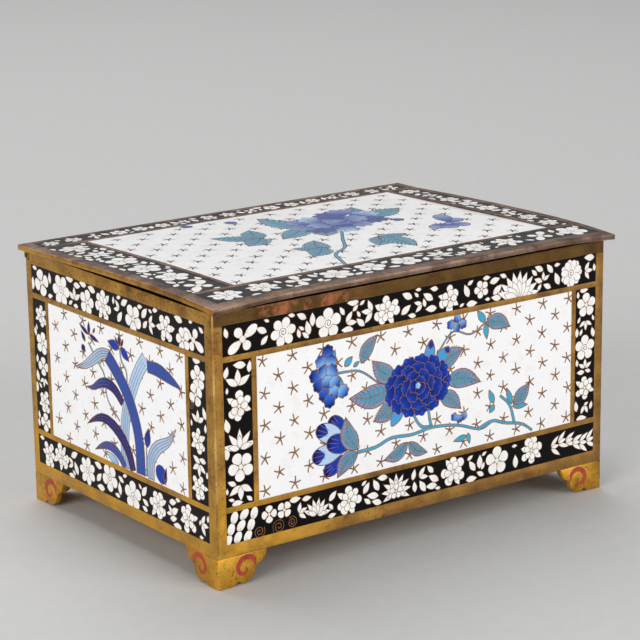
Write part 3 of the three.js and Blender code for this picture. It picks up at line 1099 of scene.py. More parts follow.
def draw_berries(board: Board, motif: Motif) -> None:
    """Draws rows of leaning oval cells, like grapes, each with a small curl at its foot.

    Args:
        board: the drawing.
        motif: the motif.
    """
    lean = math.radians(62)
    for row in range(3):
        for k in range(motif.petals):
            u = motif.centre[0] + (k - (motif.petals - 1) / 2) * 3.5 + 1.2 * (row - 1)
            v = motif.centre[1] + (row - 1) * 3.3 + 0.35 * (k % 2)
            oval = Lobed((u, v), 2.0, turn=lean + 0.25 * math.sin(3 * k + row), stretch=0.68)
            board.enamel(oval, Glaze.PETAL_SHADE, Glaze.PETAL)
            spiral(board, turned((u, v), 1.35, lean + math.pi), 0.6, 1.0, k, 0.14)


def draw_sweep(board: Board, motif: Motif) -> None:
    """Draws slender leaves in threes along a leaning stalk, like bamboo.

    Args:
        board: the drawing.
        motif: the motif.
    """
    for k in range(motif.petals):
        share = k / (motif.petals - 1)
        base = (motif.centre[0] + (2 * share - 1) * motif.radius, motif.centre[1] + 0.9 * math.sin(5 * share))
        for angle, length in ((0.62, 5.4), (-0.5, 5.6), (0.06, 4.2)):
            lean = angle + 0.25 * math.sin(7 * share + angle)
            white_petal(board, turned(base, 0.5, lean), turned(base, length, lean), 1.6, Profile.LEAF)


def draw_motif(board: Board, motif: Motif) -> None:
    """Draws a white motif of any kind.

    Args:
        board: the drawing.
        motif: the motif.
    """
    if motif.kind in (Bloom.FLOWER, Bloom.COILED):
        draw_flower(board, motif, motif.kind is Bloom.COILED)
    elif motif.kind is Bloom.CLUSTER:
        draw_cluster(board, motif)
    elif motif.kind is Bloom.CROSS:
        for k, share in enumerate((1.25, 0.85, 1.25, 0.8)):
            angle = math.radians(motif.turn + 90 * k)
            tip = turned(motif.centre, motif.radius * share, angle)
            white_petal(board, turned(motif.centre, 0.2, angle), tip, 0.62 * motif.radius)
        board.enamel(Lobed(motif.centre, 0.24 * motif.radius, samples=8), Glaze.PETAL_SHADE)
    elif motif.kind is Bloom.FAN:
        draw_fan(board, motif, 150)
    elif motif.kind is Bloom.LOTUS:
        draw_fan(board, motif, 230)
        draw_flower(board, Motif(Bloom.FLOWER, motif.centre, 0.42 * motif.radius, motif.turn), False)
    elif motif.kind is Bloom.LEAVES:
        draw_leaves(board, motif)
    elif motif.kind is Bloom.BERRIES:
        draw_berries(board, motif)
    elif motif.kind is Bloom.SWEEP:
        draw_sweep(board, motif)
    else:
        spiral(board, motif.centre, 1.25 * motif.radius, 2.1, math.radians(motif.turn), 0.26)


def covered(motif: Motif) -> list[tuple[Point, float]]:
    """Finds the room that a motif takes, which other leaves keep off.

    Args:
        motif: the motif.

    Returns:
        The middles and radii of the circles that cover it.
    """
    centre, radius = motif.centre, motif.radius
    if motif.kind in (Bloom.BERRIES, Bloom.SWEEP):
        shares = (-0.9, -0.45, 0, 0.45, 0.9, 1.3)
        return [((centre[0] + share * radius, centre[1]), 4.2) for share in shares]
    if motif.kind is Bloom.LEAVES:
        return [(turned(centre, 0.55 * radius, angle), 0.3 * radius) for angle in leaf_angles(motif)]
    if motif.kind is Bloom.FAN:
        return [(turned(centre, 0.5 * radius, math.radians(motif.turn)), 0.62 * radius)]
    return [(centre, radius * (1.08 if motif.kind is Bloom.CLUSTER else 0.98))]


def fill_with_leaves(
    board: Board,
    taken: list[tuple[Point, float]],
    seed: int,
    tries: int = 2600,
    longest: float = 4.9,
    shortest: float = 2.3,
    margin: float = 0.35,
    gap: float = 0.15,
) -> None:
    """Scatters white leaves wherever the black ground is still bare, the larger ones first.

    Args:
        board: the drawing.
        taken: the circles that are covered, to which it adds its own.
        seed: fixes where the leaves come.
        tries: how many places it tries.
        longest: the length of the first leaves.
        shortest: the length of the last.
        margin: what they leave bare along the border's edge.
        gap: what they leave bare between them.
    """
    rng = random.Random(seed)
    low, high = board.design_low, board.design_high
    for attempt in range(tries):
        length = longest - (longest - shortest) * attempt / tries
        angle = rng.uniform(0, math.pi)
        lean = Vector((math.cos(angle), math.sin(angle))) * (length / 2)
        place = Vector((rng.uniform(low[0], high[0]), rng.uniform(low[1], high[1])))
        reaches = [abs(part) + margin for part in lean]
        if any(not low[k] + reaches[k] < place[k] < high[k] - reaches[k] for k in range(2)):
            continue
        spots = [place + lean * share for share in (-0.8, 0, 0.8)]
        girths = (0.08 * length, 0.24 * length, 0.08 * length)
        if any(
            (spot - Vector(other)).length < girth + size + gap
            for spot, girth in zip(spots, girths)
            for other, size in taken
        ):
            continue
        white_petal(board, tuple(place - lean), tuple(place + lean), 0.5 * length, Profile.LEAF)
        taken.extend((tuple(spot), girth) for spot, girth in zip(spots, girths))


# the motifs of the borders that have a design of their own
BORDERS: dict[Side, dict[str, tuple[Motif, ...]]] = {
    Side.FRONT: {
        "upper_border": (
            Motif(Bloom.CROSS, (10.4, 74.0), 5.0, 35),
            Motif(Bloom.COILED, (24.6, 73.7), 4.6, 10, 6),
            Motif(Bloom.COILED, (40.8, 73.6), 4.8, 90),
            Motif(Bloom.LEAVES, (47.2, 72.6), 4.4, 25, 2),
            Motif(Bloom.CLUSTER, (62.4, 73.8), 4.9, 15, 6),
            Motif(Bloom.LEAVES, (57.0, 74.4), 4.4, 170, 3),
            Motif(Bloom.LEAVES, (76.0, 73.6), 3.6, 190, 2),
            Motif(Bloom.CLUSTER, (86.4, 73.6), 4.5),
            Motif(Bloom.FLOWER, (99.2, 74.6), 3.0, 40),
            Motif(Bloom.FAN, (114.0, 69.2), 9.2, 84, 9),
            Motif(Bloom.LEAVES, (124.4, 73.4), 3.2, 60, 2),
            Motif(Bloom.FLOWER, (136.2, 74.0), 4.6, 0, 7),
            Motif(Bloom.COILED, (136.2, 74.0), 4.4, 20, 7),
            Motif(Bloom.LEAVES, (142.0, 73.8), 3.6, 0, 3),
        ),
        "lower_border": (
            Motif(Bloom.BERRIES, (8.4, 17.9), 4.8, 0, 3),
            Motif(Bloom.FLOWER, (18.4, 19.6), 2.8, 90, 4),
            Motif(Bloom.FLOWER, (23.8, 19.8), 2.8, 45, 4),
            Motif(Bloom.SCROLL, (14.8, 15.0), 1.7),
            Motif(Bloom.SCROLL, (21.8, 15.1), 1.9, 180),
            Motif(Bloom.SCROLL, (26.6, 15.4), 1.5, 90),
            Motif(Bloom.LEAVES, (29.0, 17.6), 3.6, 20, 3),
            Motif(Bloom.FAN, (35.6, 15.6), 5.6, 80, 7),
            Motif(Bloom.CLUSTER, (47.6, 17.4), 4.9, 12, 6),
            Motif(Bloom.LOTUS, (65.6, 16.6), 6.0, 90, 9),
            Motif(Bloom.LEAVES, (74.4, 19.4), 4.0, 20, 2),
            Motif(Bloom.CLUSTER, (88.0, 18.2), 5.2, 5, 6),
            Motif(Bloom.FLOWER, (105.8, 18.2), 4.8, 18),
            Motif(Bloom.CLUSTER, (120.2, 18.6), 4.8, 40, 6),
            Motif(Bloom.SWEEP, (135.6, 17.8), 7.6, 0, 6),
        ),
        "left_border": (
            Motif(Bloom.LEAVES, (8.4, 60.6), 5.2, 90, 3),
            Motif(Bloom.CLUSTER, (8.6, 54.4), 4.7),
            Motif(Bloom.FAN, (8.6, 41.6), 6.4, 90),
            Motif(Bloom.FLOWER, (8.8, 36.2), 4.6, 45),
            Motif(Bloom.LEAVES, (8.6, 30.6), 5.0, 270, 3),
        ),
        "right_border": (
            Motif(Bloom.FLOWER, (142.8, 62.6), 4.1, 20),
            Motif(Bloom.LEAVES, (142.6, 57.4), 3.4, 270, 3),
            Motif(Bloom.COILED, (142.4, 48.6), 4.3, 18),
            Motif(Bloom.LEAVES, (142.6, 41.8), 3.4, 90, 3),
            Motif(Bloom.CLUSTER, (142.6, 35.2), 4.3),
            Motif(Bloom.LEAVES, (142.6, 29.4), 3.4, 270, 2),
        ),
    },
    # u runs from the front edge of the left side
    Side.LEFT: {
        "upper_border": (
            Motif(Bloom.CROSS, (10.0, 73.4), 4.6, 25),
            Motif(Bloom.FLOWER, (15.4, 72.4), 3.8),
            Motif(Bloom.CLUSTER, (24.6, 73.6), 4.7, 20),
            Motif(Bloom.LEAVES, (33.6, 73.4), 3.8, 180, 3),
            Motif(Bloom.FLOWER, (42.4, 73.2), 4.6, 55),
            Motif(Bloom.LEAVES, (50.0, 74.6), 3.6, 20, 2),
            Motif(Bloom.CLUSTER, (59.4, 73.8), 4.9, 8, 6),
            Motif(Bloom.FLOWER, (69.0, 73.0), 4.2, 30),
            Motif(Bloom.LEAVES, (76.4, 72.4), 4.4, 90, 3),
            Motif(Bloom.COILED, (84.4, 73.8), 5.2, 0, 6),
            Motif(Bloom.FLOWER, (96.4, 74.0), 4.4, 70, 4),
        ),
        "lower_border": (
            Motif(Bloom.LEAVES, (8.4, 18.2), 4.0, 180, 3),
            Motif(Bloom.CLUSTER, (15.2, 18.0), 4.8, 10),
            Motif(Bloom.LEAVES, (24.0, 17.2), 3.4, 20, 2),
            Motif(Bloom.CLUSTER, (31.8, 17.8), 4.9, 30, 6),
            Motif(Bloom.COILED, (46.0, 17.0), 4.8, 90),
            Motif(Bloom.COILED, (59.2, 19.2), 4.6, 270),
            Motif(Bloom.COILED, (72.6, 18.0), 4.8, 0, 7),
            Motif(Bloom.LEAVES, (81.2, 18.0), 3.6, 0, 2),
            Motif(Bloom.CLUSTER, (88.2, 18.6), 4.6, 0, 6),
            Motif(Bloom.CLUSTER, (96.0, 17.4), 4.6, 35),
        ),
        "right_border": (
            Motif(Bloom.FLOWER, (8.2, 62.6), 3.9, 10),
            Motif(Bloom.FLOWER, (9.6, 57.2), 3.6, 60, 4),
            Motif(Bloom.SCROLL, (12.0, 54.0), 1.3),
            Motif(Bloom.LEAVES, (8.8, 49.2), 4.0, 90, 3),
            Motif(Bloom.CLUSTER, (8.8, 43.4), 4.2),
            Motif(Bloom.LEAVES, (8.8, 36.4), 4.2, 270, 3),
            Motif(Bloom.CLUSTER, (8.8, 29.4), 4.2, 20),
        ),
        "left_border": (
            Motif(Bloom.CLUSTER, (97.6, 63.0), 3.9),
            Motif(Bloom.FLOWER, (97.6, 54.0), 3.9, 30),
            Motif(Bloom.FLOWER, (97.6, 46.4), 3.2, 0, 4),
            Motif(Bloom.LEAVES, (97.6, 42.4), 3.2, 270, 3),
            Motif(Bloom.CLUSTER, (97.6, 34.6), 4.0, 20),
            Motif(Bloom.FLOWER, (97.6, 27.8), 3.2, 0, 4),
        ),
    },
}


def garland(board: Board, seed: int) -> list[Motif]:
    """White motifs in a row along a border that has no design of its own.

    Args:
        board: the border, whose longer way the row follows.
        seed: fixes which motifs come where.

    Returns:
        The motifs, from one end to the other.
    """
    rng = random.Random(seed)
    low, high = Vector(board.design_low), Vector(board.design_high)
    size = high - low
    lengthwise = size.x > size.y
    length, breadth = (size.x, size.y) if lengthwise else (size.y, size.x)
    count = max(3, round(length / min(13.0, 1.3 * breadth)))
    flower, coiled, cluster = Bloom.FLOWER, Bloom.COILED, Bloom.CLUSTER
    kinds = (cluster, flower, coiled, cluster, Bloom.LEAVES, flower, Bloom.CROSS)
    motifs = []
    for k in range(count):
        along = (k + 0.5) * length / count + rng.uniform(-0.6, 0.6)
        across = breadth * rng.uniform(0.46, 0.54)
        centre = (low.x + along, low.y + across) if lengthwise else (low.x + across, low.y + along)
        kind = kinds[(k * 3 + seed) % len(kinds)]
        radius = min(5.4, breadth * (0.48 if kind in (cluster, coiled) else 0.44))
        motifs.append(Motif(kind, centre, radius, rng.uniform(0, 90), rng.choice((5, 5, 6))))
    return motifs


def draw_border(board: Board, motifs: Sequence[Motif], seed: int) -> None:
    """Draws a border's motifs over small leaves that fill its bare ground.

    Args:
        board: the drawing.
        motifs: its motifs.
        seed: fixes where the leaves come.
    """
    taken = [circle for motif in motifs for circle in covered(motif)]
    fill_with_leaves(board, taken, seed)
    for motif in motifs:
        draw_motif(board, motif)


# ---------- shader nodes


def add_node(
    tree: Tree,
    kind: str,
    settings: dict[str, object] | None = None,
    inputs: dict[str | int, object] | None = None,
    stops: Sequence[tuple[float, Colour]] = (),
) -> bpy.types.Node:
    """Adds a shader node with its settings and links.

    Args:
        tree: the node tree.
        kind: the node's type.
        settings: its properties.
        inputs: for each input, a socket to link to it or a plain value for it.
        stops: the positions and colours of its ramp, where it has one.

    Returns:
        The node.
    """
    node = tree.nodes.new(kind)
    for name, value in (settings or {}).items():
        setattr(node, name, value)
    for name, value in (inputs or {}).items():
        if isinstance(value, Socket):
            tree.links.new(value, node.inputs[name])
        else:
            node.inputs[name].default_value = value
    if stops:
        elements = node.color_ramp.elements
        while len(elements) < len(stops):
            elements.new(0.5)
        for element, (position, colour) in zip(elements, stops):
            element.position = position
            element.color = colour
    return node


def blotches(tree: Tree, size_mm: float, detail: float = 4.0, rough: float = 0.55) -> Socket:
    """An uneven pattern that is fixed to the piece.

    Args:
        tree: the node tree.
        size_mm: a blotch's size, about.
        detail: how many finer layers it has.
        rough: how strong the finer layers are.

    Returns:
        The pattern, from 0 to 1.
    """
    place = add_node(tree, "ShaderNodeTexCoord").outputs["Object"]
    values = {"Vector": place, "Scale": 1 / (size_mm * MM), "Detail": detail, "Roughness": rough}
    return add_node(tree, "ShaderNodeTexNoise", inputs=values).outputs["Fac"]


def toned(
    tree: Tree,
    size_mm: float,
    stops: Sequence[tuple[float, Colour]],
    detail: float = 4.0,
    rough: float = 0.55,
) -> Socket:
    """Blotches whose tone runs through the stops.

    Args:
        tree: the node tree.
        size_mm: a blotch's size, about.
        stops: the pattern's value and the colour there, from low to high.
        detail: how many finer layers the blotches have.
        rough: how strong the finer layers are.

    Returns:
        The colour.
    """
    pattern = blotches(tree, size_mm, detail, rough)
    return add_node(tree, "ShaderNodeValToRGB", inputs={"Fac": pattern}, stops=stops).outputs["Color"]


def relief(
    tree: Tree,
    size_mm: float,
    depth_mm: float,
    strength: float,
    detail: float,
    rough: float,
) -> Socket:
    """A shallow relief of blotches.

    Args:
        tree: the node tree.
        size_mm: a blotch's size, about.
        depth_mm: how deep it is.
        strength: how much of that depth tells.
        detail: how many finer layers the blotches have.
        rough: how strong the finer layers are.

    Returns:
        The normal.
    """
    height = blotches(tree, size_mm, detail, rough)
    values = {"Strength": strength, "Distance": depth_mm * MM, "Height": height}
    return add_node(tree, "ShaderNodeBump", inputs=values).outputs["Normal"]


def darkened(tree: Tree, colour: Socket, *patterns: tuple[Socket | Colour, float]) -> Socket:
    """A colour or mask multiplied by patterns, one after another.

    Args:
        tree: the node tree.
        colour: what is darkened.
        patterns: each pattern, with how strongly it tells, from 0 to 1.

    Returns:
        The colour or mask that is left.
    """
    multiply = {"data_type": "RGBA", "blend_type": "MULTIPLY"}
    for pattern, strength in patterns:
        values = {MIX_SHARE: strength, MIX_UNDER: colour, MIX_OVER: pattern}
        colour = add_node(tree, "ShaderNodeMix", multiply, values).outputs[MIX_RESULT]
    return colour


def tinted(tree: Tree, under: Socket, mask: Socket, metal: Socket, cover: float, tint: str) -> Socket:
    """Lays a tint over a colour where a mask lets it.

    Args:
        tree: the node tree.
        under: the colour so far.
        mask: where the tint lies.
        metal: the bare metal's colour, which shows through the tint.
        cover: how much of the metal the tint hides.
        tint: the tint, as #rrggbb.

    Returns:
        The colour with the tint on it.
    """
    mixed = {MIX_SHARE: cover, MIX_UNDER: metal, MIX_OVER: linear(tint)}
    stain = add_node(tree, "ShaderNodeMix", {"data_type": "RGBA"}, mixed).outputs[MIX_RESULT]
    laid = {MIX_SHARE: mask, MIX_UNDER: under, MIX_OVER: stain}
    return add_node(tree, "ShaderNodeMix", {"data_type": "RGBA"}, laid).outputs[MIX_RESULT]


def grey(value: float) -> Colour:
    """A grey of one value."""
    return (value, value, value, 1.0)


def new_material(name: str) -> tuple[Material, Tree, bpy.types.Node]:
    """Makes a node material.

    Args:
        name: its name.

    Returns:
        The material, its node tree and its Principled shader.
    """
    material = bpy.data.materials.new(name)
    material.use_nodes = True
    tree = material.node_tree
    return material, tree, tree.nodes["Principled BSDF"]


# ---------- finishes


@dataclass(frozen=True)
class GlazedEnamel:
    """Fired glass enamel, ground level with the wires and polished.

    To the eye it is a clear hard gloss over colour that clouds a little, with pinholes where gas
    escaped in the kiln and a faint swell left by the stone. The stone dulls its reflection.
    """

    name: str = "glazed_enamel"
    roughness: float = 0.2
    reflection: float = 0.12
    ior: float = 1.52
    cloud_mm: float = 4.5
    pinhole_mm: float = 0.6
    pinhole_depth: float = 0.75
    swell_mm: float = 7.0
    swell_depth_mm: float = 0.2

    def build(self) -> Material:
        """Makes the material, whose colour comes from the cells' own colour attribute.

        Returns:
            The material.
        """
        material, tree, shader = new_material(self.name)
        cell = add_node(tree, "ShaderNodeAttribute", {"attribute_name": "glaze"}).outputs["Color"]
        clouding = ((0.32, linear("#faf7f3")), (0.46, linear("#ffffff")), (0.7, linear("#fdfdff")))
        cloud = toned(tree, self.cloud_mm, clouding, 6.0, 0.65)
        pinholes = toned(tree, self.pinhole_mm, ((0.245, grey(0.3)), (0.285, grey(1.0))), 1.0)
        colour = darkened(tree, cell, (cloud, 1.0), (pinholes, self.pinhole_depth))
        tree.links.new(colour, shader.inputs["Base Color"])
        polish = ((0.3, grey(self.roughness * 0.8)), (0.7, grey(self.roughness * 1.3)))
        tree.links.new(toned(tree, self.cloud_mm * 2, polish), shader.inputs["Roughness"])
        shader.inputs["IOR"].default_value = self.ior
        shader.inputs["Specular IOR Level"].default_value = self.reflection
        swell = relief(tree, self.swell_mm, self.swell_depth_mm, 0.12, 3.0, 0.55)
        tree.links.new(swell, shader.inputs["Normal"])
        return material


@dataclass(frozen=True)
class CloisonWire:
    """Flat copper wire on edge, polished with the enamel and since gone brown.

    To the eye it is a thin line, half metal and half tarnish, that turns from dark to warm.
    """

    name: str = "cloison_wire"
    shade: str = "#5f432f"
    bright: str = "#b0793f"
    mottle_mm: float = 1.3
    metal: float = 0.55
    roughness: float = 0.42

    def build(self) -> Material:
        """Makes the material.

        Returns:
            The material.
        """
        material, tree, shader = new_material(self.name)
        tone = toned(tree, self.mottle_mm, ((0.3, linear(self.shade)), (0.7, linear(self.bright))))
        tree.links.new(tone, shader.inputs["Base Color"])
        shader.inputs["Metallic"].default_value = self.metal
        shader.inputs["Roughness"].default_value = self.roughness
        return material


@dataclass(frozen=True)
class RedEnamel(CloisonWire):
    """Iron-red enamel laid thin in the feet's scrolls. To the eye it is dull and a little rubbed.

    It is made from two tones as the wire is, with no metal in it.
    """

    name: str = "iron_red_enamel"
    shade: str = "#8c2c18"
    bright: str = "#b8452a"
    mottle_mm: float = 1.4
    metal: float = 0.0
    roughness: float = 0.5


@dataclass(frozen=True)
class TarnishedBrass:
    """Rolled brass, gilt and rubbed, with brown tarnish lying in blotches and fine specks.

    To the eye it is a soft metal sheen, brightest where hands have worn it.
    """

    name: str
    bright: str
    middle: str
    dark: str
    blotch_mm: float = 9.0
    speck_mm: float = 0.9
    pit_mm: float = 1.5
    pit_depth_mm: float = 0.1
    metal: float = 0.85
    roughness: float = 0.42
    speck_depth: float = 0.7

    def build(self) -> Material:
        """Makes the material.

        Returns:
            The material.
        """
        material, tree, shader = new_material(self.name)
        tarnish = ((0.30, linear(self.dark)), (0.45, linear(self.middle)), (0.62, linear(self.bright)))
        blotch = toned(tree, self.blotch_mm, tarnish, 6.0, 0.62)
        speck = toned(tree, self.speck_mm, ((0.35, grey(0.22)), (0.46, grey(1.0))), 5.0, 0.7)
        grain = toned(tree, self.speck_mm / 3, ((0.34, grey(0.55)), (0.5, grey(1.0))), 3.0, 0.7)
        pits = toned(tree, self.pit_mm, ((0.27, grey(0.12)), (0.33, grey(1.0))), 1.5, 0.6)
        marks = darkened(tree, speck, (grain, 0.8), (pits, 1.0))
        colour = darkened(tree, blotch, (marks, self.speck_depth))
        tree.links.new(self.patched(tree, colour), shader.inputs["Base Color"])
        shader.inputs["Metallic"].default_value = self.metal
        rubbed = ((0.3, grey(self.roughness * 0.8)), (0.7, grey(self.roughness * 1.3)))
        tree.links.new(toned(tree, self.blotch_mm / 2, rubbed), shader.inputs["Roughness"])
        pitted = relief(tree, self.speck_mm, self.pit_depth_mm, 0.35, 6.0, 0.7)
        tree.links.new(pitted, shader.inputs["Normal"])
        return material

    def patched(self, tree: Tree, colour: Socket) -> Socket:
        """The colour with any local patches. Plain tarnished brass has none."""
        return colour


@dataclass(frozen=True)
class CarcassBrass(TarnishedBrass):
    """The box's own brass. It stays gilt at the left, and along the front it is browner and darker, partly
    thin gilding and partly painted shade.

    The front's top rail, where it is handled, is brown with bare copper showing near the left end.
    Places are in metres.
    """

    rail_z: float = 0.0791
    front_y: float = -0.0520
    copper: str = "#b8704f"
    # the front's brown: thin gilding together with painted shade
    rail: str = "#4a3420"
    thin: str = "#7d5c3a"
    fresh: str = "#ffc03a"

    def patched(self, tree: Tree, colour: Socket) -> Socket:
        """Adds the front's brown of thin gilding and painted shade, the fresh gilding low at its left, the
        rail and the copper.

        Args:
            tree: the node tree.
            colour: the brass without them.

        Returns:
            The colour with them.
        """
        # painted shade: the front face is browned and darkened, partly as thin gilding and partly as painted
        # shade that keeps it darker than the left side
        front = self._span(tree, "Y", self.front_y + 0.0015, self.front_y)
        tall = darkened(tree, self._span(tree, "Z", 0.028, 0.044), (grey(0.6), 1.0))
        lighten = {"data_type": "RGBA", "blend_type": "LIGHTEN"}
        reach = {MIX_SHARE: 1.0, MIX_UNDER: self._span(tree, "X", -0.068, -0.030), MIX_OVER: tall}
        away = add_node(tree, "ShaderNodeMix", lighten, reach).outputs[MIX_RESULT]
        uneven = toned(tree, 26.0, ((0.35, grey(0.35)), (0.6, grey(0.85))), 4.0)
        front_brown_and_shade_mask = darkened(tree, front, (away, 1.0), (uneven, 1.0))
        with_front_brown_and_shade = tinted(tree, colour, front_brown_and_shade_mask, colour, 0.7, self.thin)
        lasting = toned(tree, 14.0, ((0.4, grey(0.35)), (0.55, grey(0.9))), 6.0)
        at_left = self._span(tree, "X", -0.024, -0.058)
        kept = darkened(tree, self._span(tree, "Z", 0.034, 0.022), (at_left, 1.0), (lasting, 1.0))
        gilded = tinted(tree, with_front_brown_and_shade, kept, colour, 0.55, self.fresh)
        on_rail = darkened(tree, front, (self._span(tree, "Z", self.rail_z - 0.0006, self.rail_z), 1.0))
        railed = tinted(tree, gilded, on_rail, colour, 0.8, self.rail)
        entering = self._span(tree, "X", -0.062, -0.055)
        leaving = self._span(tree, "X", -0.018, -0.034)
        worn = toned(tree, 6.0, ((0.5, grey(0)), (0.6, grey(0.95))), 8.0, 0.68)
        bare = darkened(tree, on_rail, (darkened(tree, entering, (leaving, 1.0)), 1.0), (worn, 1.0))
        return tinted(tree, railed, bare, colour, 1.0, self.copper)

    @staticmethod
    def _span(tree: Tree, axis: str, start: float, end: float) -> Socket:
        """A mask that grows across a span.

        Args:
            tree: the node tree.
            axis: the axis it grows along.
            start: where the mask is 0.
            end: where it is 1.

        Returns:
            The mask, held at 0 and 1 outside the span.
        """
        place = add_node(tree, "ShaderNodeTexCoord").outputs["Object"]
        parts = add_node(tree, "ShaderNodeSeparateXYZ", inputs={"Vector": place})
        values = {"Value": parts.outputs[axis], "From Min": start, "From Max": end}
        return add_node(tree, "ShaderNodeMapRange", {"clamp": True}, values).outputs["Result"]


@dataclass(frozen=True)
class CounterEnamel:
    """One-colour enamel, fired inside to balance the metal and left as it came from the kiln.

    To the eye it is glossy, mottled and pitted.
    """

    name: str = "counter_enamel"
    colour: str = "#4fa5b4"
    shade: str = "#358b9d"
    mottle_mm: float = 6.0
    pit_mm: float = 0.9
    roughness: float = 0.28
    ior: float = 1.52

    def build(self) -> Material:
        """Makes the material.

        Returns:
            The material.
        """
        material, tree, shader = new_material(self.name)
        tone = toned(tree, self.mottle_mm, ((0.3, linear(self.shade)), (0.7, linear(self.colour))))
        pits = toned(tree, self.pit_mm, ((0.3, grey(0.4)), (0.36, grey(1))), 2.0)
        tree.links.new(darkened(tree, tone, (pits, 0.8)), shader.inputs["Base Color"])
        shader.inputs["Roughness"].default_value = self.roughness
        shader.inputs["IOR"].default_value = self.ior
        return material


class Palette:
    """Every material of the box, made once."""

    def __init__(self) -> None:
        """Makes the materials."""
        self.enamel = GlazedEnamel().build()
        self.lid_enamel = GlazedEnamel("lid_glazed_enamel", roughness=0.24, reflection=0.42).build()
        self.wire = CloisonWire().build()
        self.lid_wire = CloisonWire("lid_cloison_wire", "#3a2c24", "#5c4637").build()
        # painted shade: the dark rim brass stands for the shade in the gap between lid and box
        self.rim = self._brass("rim_brass_painted_gap_shade", "#4a3b2b", "#33281d", "#1f1812", roughness=0.6)
        self.carcass = CarcassBrass("gilt_brass", "#d3a14a", "#b5853d", "#7c552e").build()
        self.foot = self._brass("foot_gilt_brass", "#e6ad40", "#cd9633", "#8f652a")
        # the arris brass is lighter, partly rubbed gilding and partly a painted highlight along the rounded
        # corners
        self.arris = self._brass("arris_brass_wear_and_painted_highlight", "#e0bb7c", "#bd8d4c", "#7d5830", speck_depth=0.4)
        self.lid = self._brass("lid_brass", "#8f7567", "#735b4e", "#4f3c32", roughness=0.4)
        # painted highlight: the lid's arris brass is lighter along the lid's rounded edges
        self.lid_arris = self._brass("lid_arris_brass_painted_highlight", "#bd9c80", "#8f6e57", "#604838", speck_depth=0.4)
        self.lid_side = self._brass("lid_side_gilt_brass", "#dba546", "#bd8637", "#83592c")
        self.hinge = self._brass("hinge_brass", "#b5904c", "#8f6f3c", "#5a4528")
        self.pin = self._brass("hinge_pin_wire", "#98938a", "#77736a", "#4d4943", roughness=0.35)
        self.lining = CounterEnamel().build()
        self.red = RedEnamel().build()

    @staticmethod
    def _brass(name: str, *tones: str, **wear: float) -> Material:
        """Tarnished brass of three tones, from bright to dark."""
        return TarnishedBrass(name, *tones, **wear).build()


# ---------- building meshes


def new_object(name: str, bm: Mesh, materials: Sequence[Material]) -> Piece:
    """Makes an object at the origin from a bmesh.

    Args:
        name: the piece's name.
        bm: its mesh, in the object's frame, which is freed.
        materials: its material slots, in order.

    Returns:
        The object.
    """
    mesh = bpy.data.meshes.new(name)
    bm.to_mesh(mesh)
    bm.free()
    for material in materials:
        mesh.materials.append(material)
    piece = bpy.data.objects.new(name, mesh)
    bpy.context.scene.collection.objects.link(piece)
    return piece


def filled(bm: Mesh, face: Face, height_mm: float, points: Outline, outlines: list[list[int]]) -> tuple:
    """Subdivides the inside of a field's outline into faces on a face of the box.

    Args:
        bm: the mesh that gets the faces.
        face: the face of the box.
        height_mm: how far out of the metal they lie.
        points: places on the face.
        outlines: closed outlines as indices of points, anticlockwise, the field's own first.

    Returns:
        The vertices' places on the face, and for each new mesh face its vertices' indices, the
        outlines that hold it, and the face itself.
    """
    places, _, faces, _, _, owners = delaunay_2d_cdt(points, [], outlines, CDT_WITHIN_OUTLINES, CDT_JOIN_MM)
    corners = [bm.verts.new(face.place(v.x, v.y, height_mm)) for v in places]
    made = [
        (indices, owner, bm.faces.new([corners[i] for i in indices]))
        for indices, owner in zip(faces, owners)
        if 0 in owner and len(set(indices)) >= 3
    ]
    return places, made


def close_slab(bm: Mesh, out: Vector, thickness_mm: float) -> None:
    """Gives a flat surface sides and a back, so that it is one closed slab.

    Args:
        bm: the surface.
        out: its outward direction.
        thickness_mm: how far the back lies behind it.
    """
    bmesh.ops.delete(bm, geom=[v for v in bm.verts if not v.link_faces], context="VERTS")
    rim = [edge for edge in bm.edges if edge.is_boundary]
    made = bmesh.ops.extrude_edge_only(bm, edges=rim)["geom"]
    moved = [item for item in made if isinstance(item, bmesh.types.BMVert)]
    bmesh.ops.translate(bm, verts=moved, vec=out * (-thickness_mm * MM))
    back = [edge for edge in bm.edges if edge.is_boundary]
    bmesh.ops.holes_fill(bm, edges=back, sides=0)
    bmesh.ops.recalc_face_normals(bm, faces=bm.faces)


def merged_copy(node: str) -> Mesh:
    """Copies a CAD node with its points merged and its flat faces joined.

    Args:
        node: the CAD node.

    Returns:
        The copy.
    """
    bm = bmesh.new()
    bm.from_mesh(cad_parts[node].data)
    bmesh.ops.remove_doubles(bm, verts=bm.verts, dist=MERGE_MM * MM)
    bmesh.ops.dissolve_limit(bm, angle_limit=math.radians(FLAT_DEG), verts=bm.verts, edges=bm.edges)
    return bm


def sharp_edges(bm: Mesh, angle_deg: float) -> list[bmesh.types.BMEdge]:
    """The edges that turn by more than an angle."""
    limit = math.radians(angle_deg)
    return [e for e in bm.edges if len(e.link_faces) == 2 and e.calc_face_angle(0.0) > limit]


def edge_middle(edge: bmesh.types.BMEdge) -> Vector:
    """The middle of an edge, in millimetres."""
    return (edge.verts[0].co + edge.verts[1].co) / 2 / MM


def from_sides(place: Vector, low: Vector, high: Vector) -> tuple[float, float]:
    """How far a place is from the nearer end and from the nearer of front and back."""
    return tuple(min(abs(place[k] - low[k]), abs(place[k] - high[k])) for k in range(2))


